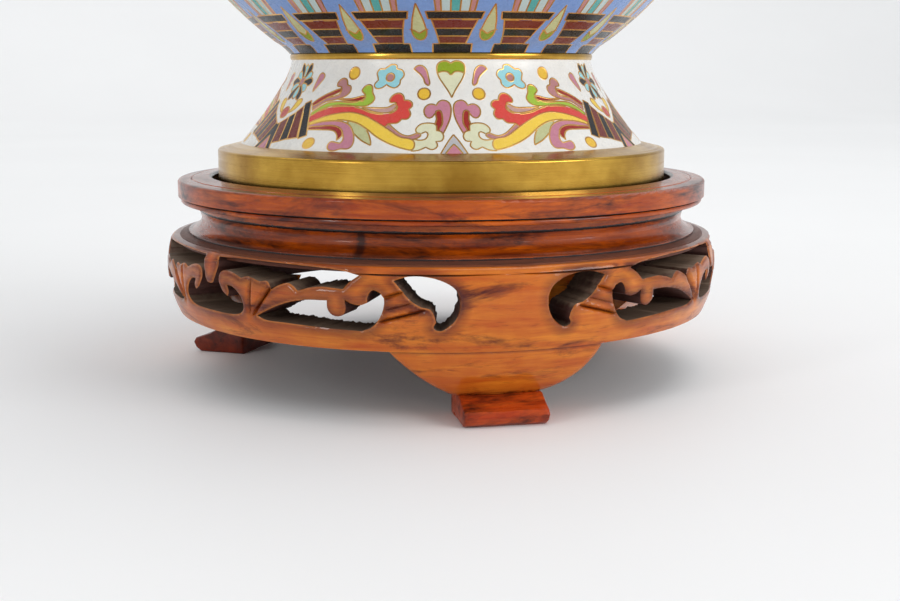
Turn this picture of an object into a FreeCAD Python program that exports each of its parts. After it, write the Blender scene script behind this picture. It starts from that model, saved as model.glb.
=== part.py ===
"""Cloisonne vase on its fitted, carved wooden stand.

Frame: millimetres, +Z up, origin on the floor under the axis of the vase and stand.
The front foot of the stand is on -Y, the other two are 120 degrees away on either side.
Every round piece is a profile of radius and height turned about Z.
"""
import FreeCAD, Part
import math
import os
import Sketcher
from FreeCAD import Placement, Rotation, Vector

doc = FreeCAD.newDocument("cloisonne_vase")

# Driving dimensions, millimetres and degrees. Heights are above the floor.
DIMENSIONS = {
    # stand
    "foot_width": 23.5,
    "foot_depth": 16.0,
    "foot_toe_radius": 81.5,
    "foot_bulge_radius": 84.0,
    "foot_top": 7.5,
    "ankle_radius": 76.5,
    "leg_inner_radius": 66.0,
    "leg_span": 29.4,
    "leg_left_bend": 60.0,
    "leg_right_bend": 23.6,
    "leg_face_bend": 40.0,
    "leg_top": 20.7,
    "knee_radius": 83.2,
    "apron_inner_radius": 73.5,
    "apron_belly_bend": 31.6,
    "apron_shoulder_radius": 85.6,
    "apron_shoulder_height": 41.6,
    "apron_top": 43.5,
    "apron_lip": 1.9,
    "deck_radius": 82.3,
    "deck_bottom": 41.5,
    "deck_top": 44.4,
    "moulding_radius": 79.6,
    "moulding_top": 51.3,
    "bore_radius": 60.0,
    "rim_radius": 82.5,
    "rim_top": 61.4,
    "recess_radius": 72.0,
    "seat_bottom": 53.0,
    "seat_height": 57.0,
    "dowel_radius": 2.0,
    "dowel_reach": 7.0,
    "dowel_circle": 76.8,
    "dowel_angle": 9.0,
    "dowel_clearance": 0.05,
    # vase
    "foot_ring_radius": 70.0,
    "foot_ring_wall": 2.5,
    "foot_ring_top": 71.3,
    "cone_bottom_radius": 62.8,
    "cone_middle_radius": 49.1,
    "cone_middle_height": 90.0,
    "cone_top_radius": 46.6,
    "cone_top_height": 96.5,
    "cone_flare_bend": 140.0,
    "cone_neck_bend": 17.5,
    "waist_top": 98.4,
    "bowl_chamfer": 3.2,
    "body_bend": 118.0,
    "belly_radius": 98.4,
    "belly_height": 196.2,
    "shoulder_bend": 80.0,
    "shoulder_angle": 60.0,
    "root_bend": 44.0,
    "neck_bottom": 292.0,
    "band_height": 3.0,
    "neck_bend": 195.0,
    "neck_radius": 31.0,
    "neck_waist_height": 345.0,
    "neck_top": 433.0,
    "vase_top": 437.0,
    "enamel": 1.0,
    "copper": 1.2,
    "lining": 0.6,
    "lining_gap": 0.03,
    "wire": 0.6,
    "lower_border": 142.0,
    "upper_border": 238.0,
    "neck_border": 318.0,
    "mouth_border": 412.0,
}

sheet = doc.addObject("Spreadsheet::Sheet", "dims")
for row, (alias, number) in enumerate(DIMENSIONS.items(), start=1):
    sheet.set(f"A{row}", alias.replace("_", " "))
    sheet.set(f"B{row}", str(number))
    sheet.setAlias(f"B{row}", alias)
doc.recompute()


class Size:
    """A length: its value now, and the expression that ties it to the sheet."""

    def __init__(self, value, text):
        self.value = value
        self.text = text

    def __add__(self, other):
        other = as_size(other)
        return Size(self.value + other.value, f"({self.text} + {other.text})")

    def __sub__(self, other):
        other = as_size(other)
        return Size(self.value - other.value, f"({self.text} - {other.text})")

    def __mul__(self, other):
        other = as_size(other)
        return Size(self.value * other.value, f"({self.text} * {other.text})")


def as_size(number):
    return number if isinstance(number, Size) else Size(float(number), f"{number:g}")


def dim(alias):
    return Size(float(sheet.get(alias)), f"dims.{alias}")


def leg_of(hypotenuse, other):
    """The other short side of a right-angled triangle."""
    square = hypotenuse * hypotenuse - other * other
    return Size(math.sqrt(square.value), f"sqrt({square.text})")


def cosine(angle):
    return Size(math.cos(math.radians(angle.value)), f"cos({angle.text})")


def sine(angle):
    return Size(math.sin(math.radians(angle.value)), f"sin({angle.text})")


# ---------------------------------------------------------------- sketches and bodies

def new_sketch(body, name, plane, offset=0.0):
    """A sketch on one of the body's own origin planes, moved along its normal."""
    sketch = body.newObject("Sketcher::SketchObject", name)
    support = [part for part in body.Origin.OriginFeatures if part.Role == plane][0]
    sketch.AttachmentSupport = [(support, "")]
    sketch.MapMode = "FlatFace"
    sketch.AttachmentOffset = Placement(Vector(0, 0, offset), Rotation())
    return sketch


def arc_between(start, end, bend):
    """The short arc of radius |bend|, its centre on the left of the way when bend is positive."""
    half = (end - start) * 0.5
    radius = abs(bend)
    reach = math.sqrt(radius ** 2 - half.Length ** 2)
    left = Vector(-half.y, half.x, 0).normalize()
    centre = start + half + left * math.copysign(reach, bend)
    first, last = (start, end) if bend > 0 else (end, start)
    angles = [math.atan2(p.y - centre.y, p.x - centre.x) for p in (first, last)]
    if angles[1] < angles[0]:
        angles[1] += 2 * math.pi
    circle = Part.Circle(centre, Vector(0, 0, 1), radius)
    return Part.ArcOfCircle(circle, angles[0], angles[1])


def draw_profile(sketch, corners):
    """Close a profile through corners (across, up) or (across, up, bend).

    bend is the radius of the arc that arrives at that corner: positive where the arc's
    centre is on the left of the way there, negative where it is on the right.
    """
    places = [Vector(as_size(c[0]).value, as_size(c[1]).value, 0) for c in corners]
    constraints = []
    bindings = []

    def bind(kind, size, *where):
        bindings.append((len(constraints), size.text))
        constraints.append(Sketcher.Constraint(kind, *where, size.value))

    ends = []
    for index, corner in enumerate(corners):
        start, end = places[index - 1], places[index]
        if len(corner) == 2:
            geometry = sketch.addGeometry(Part.LineSegment(start, end), False)
            ends.append((geometry, 1, 2))
            continue
        bend = as_size(corner[2])
        geometry = sketch.addGeometry(arc_between(start, end, bend.value), False)
        ends.append((geometry, 1, 2) if bend.value > 0 else (geometry, 2, 1))
        length = bend if bend.value > 0 else bend * -1
        bind("Radius", length, geometry)
    for index, corner in enumerate(corners):
        geometry, _, finish = ends[index]
        following, begin, _ = ends[(index + 1) % len(corners)]
        constraints.append(Sketcher.Constraint("Coincident", geometry, finish, following, begin))
        for kind, axis, size in (("DistanceX", -2, corner[0]), ("DistanceY", -1, corner[1])):
            size = as_size(size)
            if size.value == 0:
                constraints.append(Sketcher.Constraint("PointOnObject", geometry, finish, axis))
            elif size.value > 0:
                bind(kind, size, -1, 1, geometry, finish)
            else:
                bind(kind, size * -1, geometry, finish, -1, 1)
    sketch.addConstraint(constraints)
    for index, text in bindings:
        sketch.setExpression(f"Constraints[{index}]", text)


def turned(label, corners):
    """A body turned about Z from a profile of (radius, height) corners."""
    body = doc.addObject("PartDesign::Body", label)
    sketch = new_sketch(body, label + "_profile", "XZ_Plane")
    draw_profile(sketch, corners)
    turn = body.newObject("PartDesign::Revolution", label + "_turn")
    turn.Profile = sketch
    turn.ReferenceAxis = (sketch, ["V_Axis"])
    turn.Angle = 360.0
    sketch.Visibility = False
    return body


# ---------------------------------------------------------------- stand: turned pieces

def seat_board():
    edge = dim("recess_radius")
    low, high = dim("seat_bottom"), dim("seat_height")
    return turned("seat_board", [(0, low), (edge, low), (edge, high), (0, high)])


def rim_ring():
    """The top ring: a bead and a groove under a flat face, and a recess for the vase."""
    bore, recess = dim("bore_radius"), dim("recess_radius")
    outer, top, low = dim("rim_radius"), dim("rim_top"), dim("moulding_top")
    return turned("rim_ring", [
        (bore, low),
        (outer - 6.3, low),
        (outer - 6.3, low + 1.8),
        (outer - 1.1, low + 2.4),
        (outer - 1.1, low + 3.8, 0.9),
        (outer - 1.6, low + 3.8),
        (outer - 1.6, low + 4.2),
        (outer, low + 4.2),
        (outer, top - 1.6),
        (outer - 0.9, top - 0.8, 1.0),
        (outer - 3.9, top - 0.6),
        (outer - 4.2, top - 1.0),
        (outer - 4.6, top - 0.5),
        (recess + 1.0, top),
        (recess, top - 0.7, 1.0),
        (recess, dim("seat_bottom")),
        (bore, dim("seat_bottom")),
    ])


def waist_moulding():
    """The hollow moulding between deck and rim."""
    low, high = dim("deck_top"), dim("moulding_top")
    outer = dim("moulding_radius")
    return turned("waist_moulding", [
        (dim("bore_radius"), low),
        (outer, low),
        (outer, low + 0.6),
        (outer - 4.1, low + 4.2, -5.0),
        (outer - 3.3, high, -7.0),
        (dim("bore_radius"), high),
    ])


def deck_ring():
    """The flat ring let into the apron, its top sloping to the outer edge."""
    edge = dim("deck_radius")
    return turned("deck_ring", [
        (dim("bore_radius"), dim("deck_bottom")),
        (edge, dim("deck_bottom")),
        (edge, dim("deck_top") - 0.6),
        (dim("moulding_radius") + 0.4, dim("deck_top")),
        (dim("bore_radius"), dim("deck_top")),
    ])


# ---------------------------------------------------------------- stand: carved apron

# Openings of one carved panel, as (degrees from the panel's middle, height). Each run is one
# smooth curve, and runs meet at points. The other half of the panel is their mirror image.
CENTRE_OPENING = [
    [(0, 35.0), (1.0, 35.3), (1.5, 36.5), (2.1, 38.5), (2.5, 40.5), (2.3, 42.2)],
    [(2.3, 42.2), (12, 42.4), (24, 42.0), (31, 41.5), (34.3, 40.9)],
    [(34.3, 40.9), (32.6, 39.3), (31.4, 37.4)],
    [(31.4, 37.4), (29.5, 37.6), (27, 37.7), (24.6, 37.1), (22.6, 36.2)],
    [(22.6, 36.2), (21.6, 37.4), (20.4, 38.0), (18.6, 37.2), (16.8, 35.8)],
    [(16.8, 35.8), (16.4, 37.2), (15.8, 38.0), (14, 37.7), (12.4, 38.3)],
    [(12.4, 38.3), (10.9, 38.6), (9.4, 37.9)],
    [(9.4, 37.9), (7.4, 38.9), (5.2, 39.4), (3.5, 38.7), (2.9, 37.0), (3.2, 35.3), (4.3, 33.3),
     (5.6, 32.2)],
    [(5.6, 32.2), (5.9, 33.6), (5.5, 35.3)],
    [(5.5, 35.3), (7, 35.1), (8.6, 33.7), (9.6, 31.6), (9.7, 29.6), (8.8, 28.1), (6.8, 27.3),
     (3.5, 27.1), (0, 27.1)],
]
LONG_OPENING = [
    [(13, 28), (16, 30.2), (20, 32.6), (24, 33.9), (28.4, 34.2)],
    [(28.4, 34.2), (28.5, 31.8), (29.6, 30.2), (31.2, 30.4), (31.9, 32), (31.8, 34.6)],
    [(31.8, 34.6), (33, 33.7), (34.6, 33.4), (35.9, 34.1)],
    [(35.9, 34.1), (36, 35.8), (36.8, 37.4), (38.2, 36.8)],
    [(38.2, 36.8), (38.9, 35), (38.7, 32.5), (37.9, 29.8), (36.6, 27.6), (34.6, 26.3)],
    [(34.6, 26.3), (28, 26.6), (20, 27), (15, 27.1), (13, 28)],
]
CURL_OPENING = [
    [(40.5, 40), (43, 41.1), (46, 41.1), (49, 40), (51.2, 38), (52, 35.5), (52, 32.5),
     (51.2, 29.6), (49.8, 27.6)],
    [(49.8, 27.6), (48.7, 26.8), (47.5, 27.6), (47.9, 29.2)],
    [(47.9, 29.2), (47.6, 31), (46.9, 32.6), (45.4, 33.2)],
    [(45.4, 33.2), (43.8, 34.6), (42.6, 36.4), (41.6, 38.2), (40.5, 40)],
]


def mirrored(runs):
    """The same runs on the other half of the panel, in the order that keeps them joined."""
    return [[(-angle, height) for angle, height in reversed(run)] for run in reversed(runs)]


def radial_cutter(runs, near=50.0, far=110.0):
    """A cutter whose walls point at the axis, between two upright planes across its middle."""
    angles = [angle for run in runs for angle, _ in run]
    middle = (min(angles) + max(angles)) / 2
    wires = []
    for distance in (near, far):
        edges = []
        for run in runs:
            points = [Vector(distance * math.tan(math.radians(angle - middle)), -distance, height)
                      for angle, height in run]
            curve = Part.BSplineCurve()
            curve.interpolate(points)
            edges.append(curve.toShape())
        wires.append(Part.Wire(edges))
    cutter = Part.makeLoft(wires, True, True)
    cutter.rotate(Vector(), Vector(0, 0, 1), middle)
    return cutter


def dowel_base(azimuth):
    """The foot of a dowel, down in its leg block."""
    around = Rotation(Vector(0, 0, 1), azimuth)
    depth = sheet.get("leg_top") - sheet.get("dowel_reach")
    return around.multVec(Vector(0, -sheet.get("dowel_circle"), 0)) + Vector(0, 0, depth)


def apron_segment(label, azimuth):
    """A third of the carved apron, from the middle of one leg to the middle of the next."""
    inner, knee = sheet.get("apron_inner_radius"), sheet.get("knee_radius")
    low, top = sheet.get("leg_top"), sheet.get("apron_top")
    shoulder = Vector(sheet.get("apron_shoulder_radius"), 0, sheet.get("apron_shoulder_height"))
    deck, ledge = sheet.get("deck_radius"), sheet.get("deck_bottom")
    foot = Vector(knee, 0, low)
    edge = Vector(deck + sheet.get("apron_lip"), 0, top)
    chord = shoulder - foot
    bulge = sheet.get("apron_belly_bend")
    sagitta = bulge - math.sqrt(bulge ** 2 - (chord.Length / 2) ** 2)
    belly = (foot + shoulder) * 0.5 + Vector(chord.z, 0, -chord.x).normalize() * sagitta
    turn_over = (shoulder + edge) * 0.5 + Vector(0.35, 0, 0.2)
    corners = [edge, Vector(deck, 0, top + 0.2), Vector(deck, 0, ledge), Vector(inner, 0, ledge),
               Vector(inner, 0, low), foot]
    edges = [Part.Arc(foot, belly, shoulder).toShape(),
             Part.Arc(shoulder, turn_over, edge).toShape()]
    edges += [Part.LineSegment(a, b).toShape() for a, b in zip(corners, corners[1:])]
    face = Part.Face(Part.Wire(edges))
    face.rotate(Vector(), Vector(0, 0, 1), -150)
    shape = face.revolve(Vector(), Vector(0, 0, 1), 120)
    whole_centre = CENTRE_OPENING + mirrored(CENTRE_OPENING)
    for runs in (whole_centre, LONG_OPENING, mirrored(LONG_OPENING), CURL_OPENING,
                 mirrored(CURL_OPENING)):
        shape = shape.cut(radial_cutter(runs))
    bore = sheet.get("dowel_radius") + sheet.get("dowel_clearance")
    for side in (-1, 1):
        base = dowel_base(side * (60 - sheet.get("dowel_angle")))
        shape = shape.cut(Part.makeCylinder(bore, 2 * sheet.get("dowel_reach"), base))
    segment = doc.addObject("Part::Feature", label)
    segment.Shape = shape
    segment.Placement = Placement(Vector(), Rotation(Vector(0, 0, 1), azimuth))
    return segment


# ---------------------------------------------------------------- stand: legs and feet

def groove_out(body, label, corners):
    """Turn a profile about Z and take it away from the body."""
    sketch = new_sketch(body, label + "_profile", "XZ_Plane")
    draw_profile(sketch, corners)
    groove = body.newObject("PartDesign::Groove", label)
    groove.Profile = sketch
    groove.ReferenceAxis = (sketch, ["V_Axis"])
    groove.Angle = 360.0
    sketch.Visibility = False


def leg_block(label, azimuth):
    """The shaped block under the apron: padded from its front outline, then turned to fit."""
    body = doc.addObject("PartDesign::Body", label)
    low, high = dim("foot_top"), dim("leg_top")
    half, ankle = dim("leg_span"), dim("foot_width") * 0.5
    inner, knee, foot = dim("leg_inner_radius"), dim("knee_radius"), dim("ankle_radius")
    outline = new_sketch(body, label + "_outline", "XZ_Plane", inner.value + 9.0)
    draw_profile(outline, [
        (ankle * -1, low, dim("leg_left_bend")),
        (ankle, low),
        (half, high, dim("leg_right_bend")),
        (half * -1, high),
    ])
    block = body.newObject("PartDesign::Pad", label + "_pad")
    block.Profile = outline
    block.Midplane = True
    block.Length = 40.0
    within, beyond, clear = 10.0, 110.0, 1.0
    groove_out(body, label + "_front", [
        (foot, low - clear),
        (beyond, low - clear),
        (beyond, high + clear),
        (knee + 0.3, high + clear),
        (knee, high),
        (foot, low, dim("leg_face_bend") * -1),
    ])
    groove_out(body, label + "_back", [
        (within, low - clear),
        (inner, low - clear),
        (inner, high - 8.0),
        (inner + 4.0, high + clear),
        (within, high + clear),
    ])
    bores = new_sketch(body, label + "_bores", "XY_Plane", sheet.get("leg_top"))
    bore = sheet.get("dowel_radius") + sheet.get("dowel_clearance")
    for side in (-1, 1):
        centre = dowel_base(side * sheet.get("dowel_angle"))
        centre.z = 0
        bores.addGeometry(Part.Circle(centre, Vector(0, 0, 1), bore))
    pocket = body.newObject("PartDesign::Pocket", label + "_dowel_bores")
    pocket.Profile = bores
    pocket.setExpression("Length", "dims.dowel_reach")
    body.Placement = Placement(Vector(), Rotation(Vector(0, 0, 1), azimuth))
    return body


def foot_pad(label, azimuth):
    """The small scrolled foot under a leg block, straight across its front."""
    body = doc.addObject("PartDesign::Body", label)
    toe, bulge, top = dim("foot_toe_radius"), dim("foot_bulge_radius"), dim("foot_top")
    inner = toe - dim("foot_depth")
    sketch = new_sketch(body, label + "_profile", "YZ_Plane")
    draw_profile(sketch, [
        (inner, 0),
        (toe, 0),
        (bulge, 3.4),
        (bulge - 1.7, 5.4, 1.6),
        (dim("ankle_radius") - 0.5, top, -6.5),
        (inner, top),
    ])
    pad = body.newObject("PartDesign::Pad", label + "_pad")
    pad.Profile = sketch
    pad.Midplane = True
    pad.setExpression("Length", "dims.foot_width")
    body.Placement = Placement(Vector(), Rotation(Vector(0, 0, 1), azimuth + 180))
    return body


def leg_dowels(azimuths):
    """Two dowels through each joint between a leg block and the apron above it."""
    pegs = []
    for azimuth in azimuths:
        for side in (-1, 1):
            peg = doc.addObject("Part::Cylinder", f"peg_{azimuth}_{side + 1}")
            peg.setExpression("Radius", "dims.dowel_radius")
            peg.setExpression("Height", "2 * dims.dowel_reach - 1")
            angle = azimuth + side * sheet.get("dowel_angle")
            peg.Placement = Placement(dowel_base(angle) + Vector(0, 0, 0.5), Rotation())
            pegs.append(peg)
    dowels = doc.addObject("Part::Compound", "leg_dowels")
    dowels.Links = pegs
    return dowels


# ---------------------------------------------------------------- vase: metal

def foot_ring():
    """The brass foot ring: an upright band whose ledge rises to the foot of the cone."""
    outer, wall = dim("foot_ring_radius"), dim("foot_ring_wall")
    low, top = dim("seat_height"), dim("foot_ring_top")
    lip = dim("cone_bottom_radius")
    return turned("foot_ring", [
        (outer - wall, low),
        (outer, low),
        (outer, top - 2.4),
        (outer - 0.9, top - 1.5, 0.9),
        (lip + 0.2, top),
        (lip - 1.6, top),
        (lip - 1.6, top - 1.8),
        (outer - wall, top - 3.4),
    ])


def cone_skin(label, outside, inside, low, high):
    """One layer of the spreading foot, between two depths under the enamel's face."""
    bottom, middle = dim("cone_bottom_radius"), dim("cone_middle_radius")
    top, turn = dim("cone_top_radius"), dim("cone_top_height")
    halfway = dim("cone_middle_height")
    flare, neck = dim("cone_flare_bend"), dim("cone_neck_bend")
    collar = []
    if high.value > turn.value:
        collar = [(top - outside, high), (top - inside, high)]
    return turned(label, [
        (bottom - inside, low, flare),
        (bottom - outside, low),
        (middle - outside, halfway, flare * -1),
        (top - outside, turn, neck * -1),
        *collar,
        (top - inside, turn),
        (middle - inside, halfway, neck),
    ])


def lower_arc(depth, height):
    """Radius of the lower body at a height, at a depth under the enamel's face."""
    bend = dim("body_bend")
    return dim("belly_radius") - bend + leg_of(bend - depth, dim("belly_height") - height)


def upper_arc(depth, height):
    """Radius of the upper body at a height between belly and the turn of the shoulder."""
    bend = dim("shoulder_bend")
    return dim("belly_radius") - bend + leg_of(bend - depth, height - dim("belly_height"))


def shoulder_turn(depth):
    """Where the shoulder's arc meets the hollow arc of the neck's root."""
    bend, angle = dim("shoulder_bend"), dim("shoulder_angle")
    centre = dim("belly_radius") - bend
    return (centre + (bend - depth) * cosine(angle),
            dim("belly_height") + (bend - depth) * sine(angle))


def root_arc(depth, height):
    """Radius of the hollow arc between shoulder and neck."""
    root = dim("root_bend")
    reach = dim("shoulder_bend") + root
    centre = dim("belly_radius") - dim("shoulder_bend") + reach * cosine(dim("shoulder_angle"))
    level = dim("belly_height") + reach * sine(dim("shoulder_angle"))
    return centre - leg_of(root + depth, level - height)


def neck_arc(depth, height):
    """Radius of the trumpet neck at a height."""
    bend = dim("neck_bend")
    return dim("neck_radius") + bend - leg_of(bend + depth, height - dim("neck_waist_height"))


def lower_shell(label, outside, inside, floor, base, nip):
    """The bowl of the body, closed at the bottom between the heights base and floor. Its lower
    edge is cut back by nip."""
    belly, bend = dim("belly_radius"), dim("body_bend")
    seam = dim("belly_height")
    rise = base + dim("bowl_chamfer")
    return turned(label, [
        (0, base),
        (lower_arc(outside, rise) - nip, base),
        (lower_arc(outside, rise), rise),
        (belly - outside, seam, bend - outside),
        (belly - inside, seam),
        (lower_arc(inside, floor), floor, (bend - inside) * -1),
        (0, floor),
    ])


def upper_shell(label, outside, inside):
    """The shoulder, from the seam at the belly to the foot of the neck."""
    belly, seam = dim("belly_radius"), dim("belly_height")
    bend, root, top = dim("shoulder_bend"), dim("root_bend"), dim("neck_bottom")
    return turned(label, [
        (belly - inside, seam, (bend - inside) * -1),
        (belly - outside, seam),
        (*shoulder_turn(outside), bend - outside),
        (root_arc(outside, top), top, (root + outside) * -1),
        (root_arc(inside, top), top),
        (*shoulder_turn(inside), root + inside),
    ])


def neck_shell(label, outside, inside, low, high):
    """A layer of the trumpet neck between two heights."""
    bend = dim("neck_bend")
    return turned(label, [
        (neck_arc(inside, low), low, bend + inside),
        (neck_arc(outside, low), low),
        (neck_arc(outside, high), high, (bend + outside) * -1),
        (neck_arc(inside, high), high),
    ])


def mouth_rim():
    """The rounded brass lip that closes the edge of the neck."""
    low, top = dim("neck_top"), dim("vase_top")
    inside = dim("enamel") + dim("copper") + dim("lining")
    inner = neck_arc(inside, low) - 0.3
    outer = neck_arc(as_size(0), low) + 1.3
    return turned("mouth_rim", [
        (inner, low),
        (outer, low),
        (outer, top - 1.7),
        (outer - 1.7, top, 1.8),
        (inner + 1.4, top),
        (inner, top - 1.4, 1.5),
    ])


def gilt_band(label, inner, low, high, bead):
    """A half-round band that hides a joint."""
    return turned(label, [
        (inner, low),
        (inner + bead, low),
        (inner + bead, high, 1.6),
        (inner, high),
    ])


def border_wires():
    """The hoops of flat wire that part one field of enamel from the next."""
    half = dim("wire") * 0.5
    copper = dim("enamel")
    bare = as_size(0)
    hoops = []
    for name, arc in (("lower_border", lower_arc), ("upper_border", upper_arc),
                      ("neck_border", neck_arc), ("mouth_border", neck_arc)):
        height = dim(name)
        low, high = height - half, height + half
        hoops.append(turned(name + "_hoop", [
            (arc(copper, low), low),
            (arc(bare, low), low),
            (arc(bare, high), high),
            (arc(copper, high), high),
        ]))
    wires = doc.addObject("Part::Compound", "border_wires")
    wires.Links = hoops
    return wires


# ---------------------------------------------------------------- vase: enamel

def lower_band_enamel():
    """The enamel of the flaring bowl, from the waist to the first border."""
    depth, bend = dim("enamel"), dim("body_bend")
    low, top = dim("waist_top"), dim("lower_border") - dim("wire") * 0.5
    rise = low + dim("bowl_chamfer")
    flare_end = rise + 0.4
    bare = as_size(0)
    return turned("lower_band_enamel", [
        (lower_arc(depth, rise) - 4.0, low),
        (dim("cone_top_radius") + 0.6, low),
        (lower_arc(bare, flare_end), flare_end, -14.0),
        (lower_arc(bare, top), top, bend),
        (lower_arc(depth, top), top),
        (lower_arc(depth, rise), rise, (bend - depth) * -1),
    ])


def belly_enamel():
    """The widest field, between the lower and the upper border."""
    depth = dim("enamel")
    belly, seam = dim("belly_radius"), dim("belly_height")
    half = dim("wire") * 0.5
    low, top = dim("lower_border") + half, dim("upper_border") - half
    bare = as_size(0)
    return turned("belly_enamel", [
        (lower_arc(depth, low), low, (dim("body_bend") - depth) * -1),
        (lower_arc(bare, low), low),
        (belly, seam, dim("body_bend")),
        (upper_arc(bare, top), top, dim("shoulder_bend")),
        (upper_arc(depth, top), top),
        (belly - depth, seam, (dim("shoulder_bend") - depth) * -1),
    ])


def shoulder_enamel():
    """The collar between the upper border and the band at the neck."""
    depth, bend, root = dim("enamel"), dim("shoulder_bend"), dim("root_bend")
    low, top = dim("upper_border") + dim("wire") * 0.5, dim("neck_bottom")
    bare = as_size(0)
    return turned("shoulder_enamel", [
        (upper_arc(depth, low), low, (bend - depth) * -1),
        (upper_arc(bare, low), low),
        (*shoulder_turn(bare), bend),
        (root_arc(bare, top), top, root * -1),
        (root_arc(depth, top), top),
        (*shoulder_turn(depth), root + depth),
    ])


# ---------------------------------------------------------------- the whole

def build():
    """Every sub-part, one document object for each physical piece."""
    enamel, copper, lining = dim("enamel"), dim("copper"), dim("lining")
    metal_in = enamel + copper
    lining_in = metal_in + lining
    bowl_in = metal_in + dim("lining_gap")
    bare = as_size(0)
    half_wire = dim("wire") * 0.5
    feet = (("front", 0), ("right", 120), ("left", 240))
    panels = (("front_right", 60), ("back", 180), ("front_left", 300))
    parts = [rim_ring(), seat_board(), waist_moulding(), deck_ring()]
    parts += [apron_segment("apron_" + side, azimuth) for side, azimuth in panels]
    parts += [leg_block("leg_block_" + side, azimuth) for side, azimuth in feet]
    parts += [foot_pad("foot_pad_" + side, azimuth) for side, azimuth in feet]
    parts.append(leg_dowels([azimuth for _, azimuth in feet]))

    waist, cone_top = dim("waist_top"), dim("cone_top_height")
    ledge = dim("foot_ring_top")
    bowl_floor = waist + copper + dim("lining_gap")
    neck_low, neck_high = dim("neck_bottom"), dim("neck_top")
    parts += [
        foot_ring(),
        cone_skin("foot_core", enamel, metal_in, ledge, waist),
        cone_skin("foot_enamel", bare, enamel, ledge, cone_top),
        cone_skin("foot_lining", metal_in, lining_in, ledge, cone_top),
        gilt_band("waist_band", dim("cone_top_radius") - enamel, cone_top, waist, 1.2),
        lower_shell("lower_body_core", enamel, metal_in, waist + copper, waist, 4.0),
        upper_shell("upper_body_core", enamel, metal_in),
        neck_shell("neck_core", enamel, metal_in, neck_low, neck_high),
        lower_band_enamel(),
        belly_enamel(),
        shoulder_enamel(),
    ]
    band_top = neck_low + dim("band_height")
    neck_fields = (
        ("neck_root_enamel", band_top, dim("neck_border") - half_wire),
        ("neck_enamel", dim("neck_border") + half_wire, dim("mouth_border") - half_wire),
        ("mouth_enamel", dim("mouth_border") + half_wire, neck_high),
    )
    for label, low, high in neck_fields:
        parts.append(neck_shell(label, bare, enamel, low, high))
    parts += [
        gilt_band("neck_band", neck_arc(enamel, neck_low), neck_low, band_top, 1.6),
        lower_shell("bowl_lining", bowl_in, lining_in, waist + copper + lining, bowl_floor, 5.2),
        upper_shell("shoulder_lining", metal_in, lining_in),
        neck_shell("neck_lining", metal_in, lining_in, neck_low, neck_high),
        mouth_rim(),
        border_wires(),
    ]
    return parts


def check(parts):
    """Stop before anything is written if an object failed or a shape is not sound."""
    for item in doc.Objects:
        if "Invalid" in item.State or "Error" in item.State:
            raise RuntimeError(f"{item.Label} failed: {item.State}")
    for item in parts:
        if item.Shape.isNull() or not item.Shape.isValid() or item.Shape.Volume <= 0:
            raise RuntimeError(f"{item.Label} has no sound shape")


parts = build()
doc.recompute()
check(parts)
os.makedirs("parts", exist_ok=True)
for item in parts:
    item.Shape.exportStep(f"parts/{item.Label}.step")
    print(f"{item.Label:20s} {len(item.Shape.Solids):2d} solid(s) {item.Shape.Volume:10.0f} mm3")
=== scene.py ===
"""The looks of the cloisonne vase and its carved wooden stand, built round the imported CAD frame.

Lengths are millimetres until a mesh is made. A point on the vase or the stand is an azimuth in
degrees, which is 0 at the front foot and grows to the right, and a height above the floor.
"""
import math
from collections import Counter

import bmesh
import bpy
import numpy as np
from mathutils import Matrix, Vector, noise
from mathutils.geometry import delaunay_2d_cdt


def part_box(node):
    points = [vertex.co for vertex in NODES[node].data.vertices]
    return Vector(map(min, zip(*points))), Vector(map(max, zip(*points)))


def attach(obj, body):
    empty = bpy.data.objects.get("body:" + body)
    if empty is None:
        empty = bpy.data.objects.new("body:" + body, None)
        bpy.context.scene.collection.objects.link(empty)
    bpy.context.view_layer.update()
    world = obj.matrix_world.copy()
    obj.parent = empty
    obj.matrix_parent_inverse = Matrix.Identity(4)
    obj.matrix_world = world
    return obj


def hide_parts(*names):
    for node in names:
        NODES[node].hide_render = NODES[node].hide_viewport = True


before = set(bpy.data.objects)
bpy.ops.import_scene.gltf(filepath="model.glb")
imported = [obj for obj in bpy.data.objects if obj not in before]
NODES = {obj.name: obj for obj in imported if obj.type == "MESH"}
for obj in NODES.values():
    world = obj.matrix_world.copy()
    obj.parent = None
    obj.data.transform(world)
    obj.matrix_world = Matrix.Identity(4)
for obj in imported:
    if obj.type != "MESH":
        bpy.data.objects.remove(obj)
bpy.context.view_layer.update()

MM = 0.001
CORNER = True   # third entry of an outline's point: the outline turns sharply there

# ---------------------------------------------------------------- colours, as display values

PALETTE = {
    "white": (238, 236, 230),
    "blue": (122, 154, 210),
    "maroon": (114, 38, 30),
    "black": (20, 18, 22),
    "teal": (86, 168, 166),
    "stream_white": (186, 204, 204),
    "pale_green": (196, 198, 148),
    "green": (140, 158, 30),
    "olive": (146, 168, 30),
    "cream": (226, 226, 192),
    "pink": (200, 132, 150),
    "brown_pink": (186, 130, 130),
    "dark_red": (160, 44, 36),
    "red": (220, 74, 66),
    "yellow": (246, 208, 78),
    "dot_yellow": (238, 192, 62),
    "plume_green": (166, 196, 66),
    "turquoise": (158, 218, 226),
    "grey": (190, 188, 190),
    "salmon": (196, 84, 74),
    "tail_pink": (198, 158, 150),
}


def linear(display):
    """A display colour of 0 to 255 as the linear colour that sockets take."""
    shares = [value / 255 for value in display]
    return tuple(s / 12.92 if s <= 0.04045 else ((s + 0.055) / 1.055) ** 2.4 for s in shares) + (1.0,)


# ---------------------------------------------------------------- the turned shapes

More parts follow.
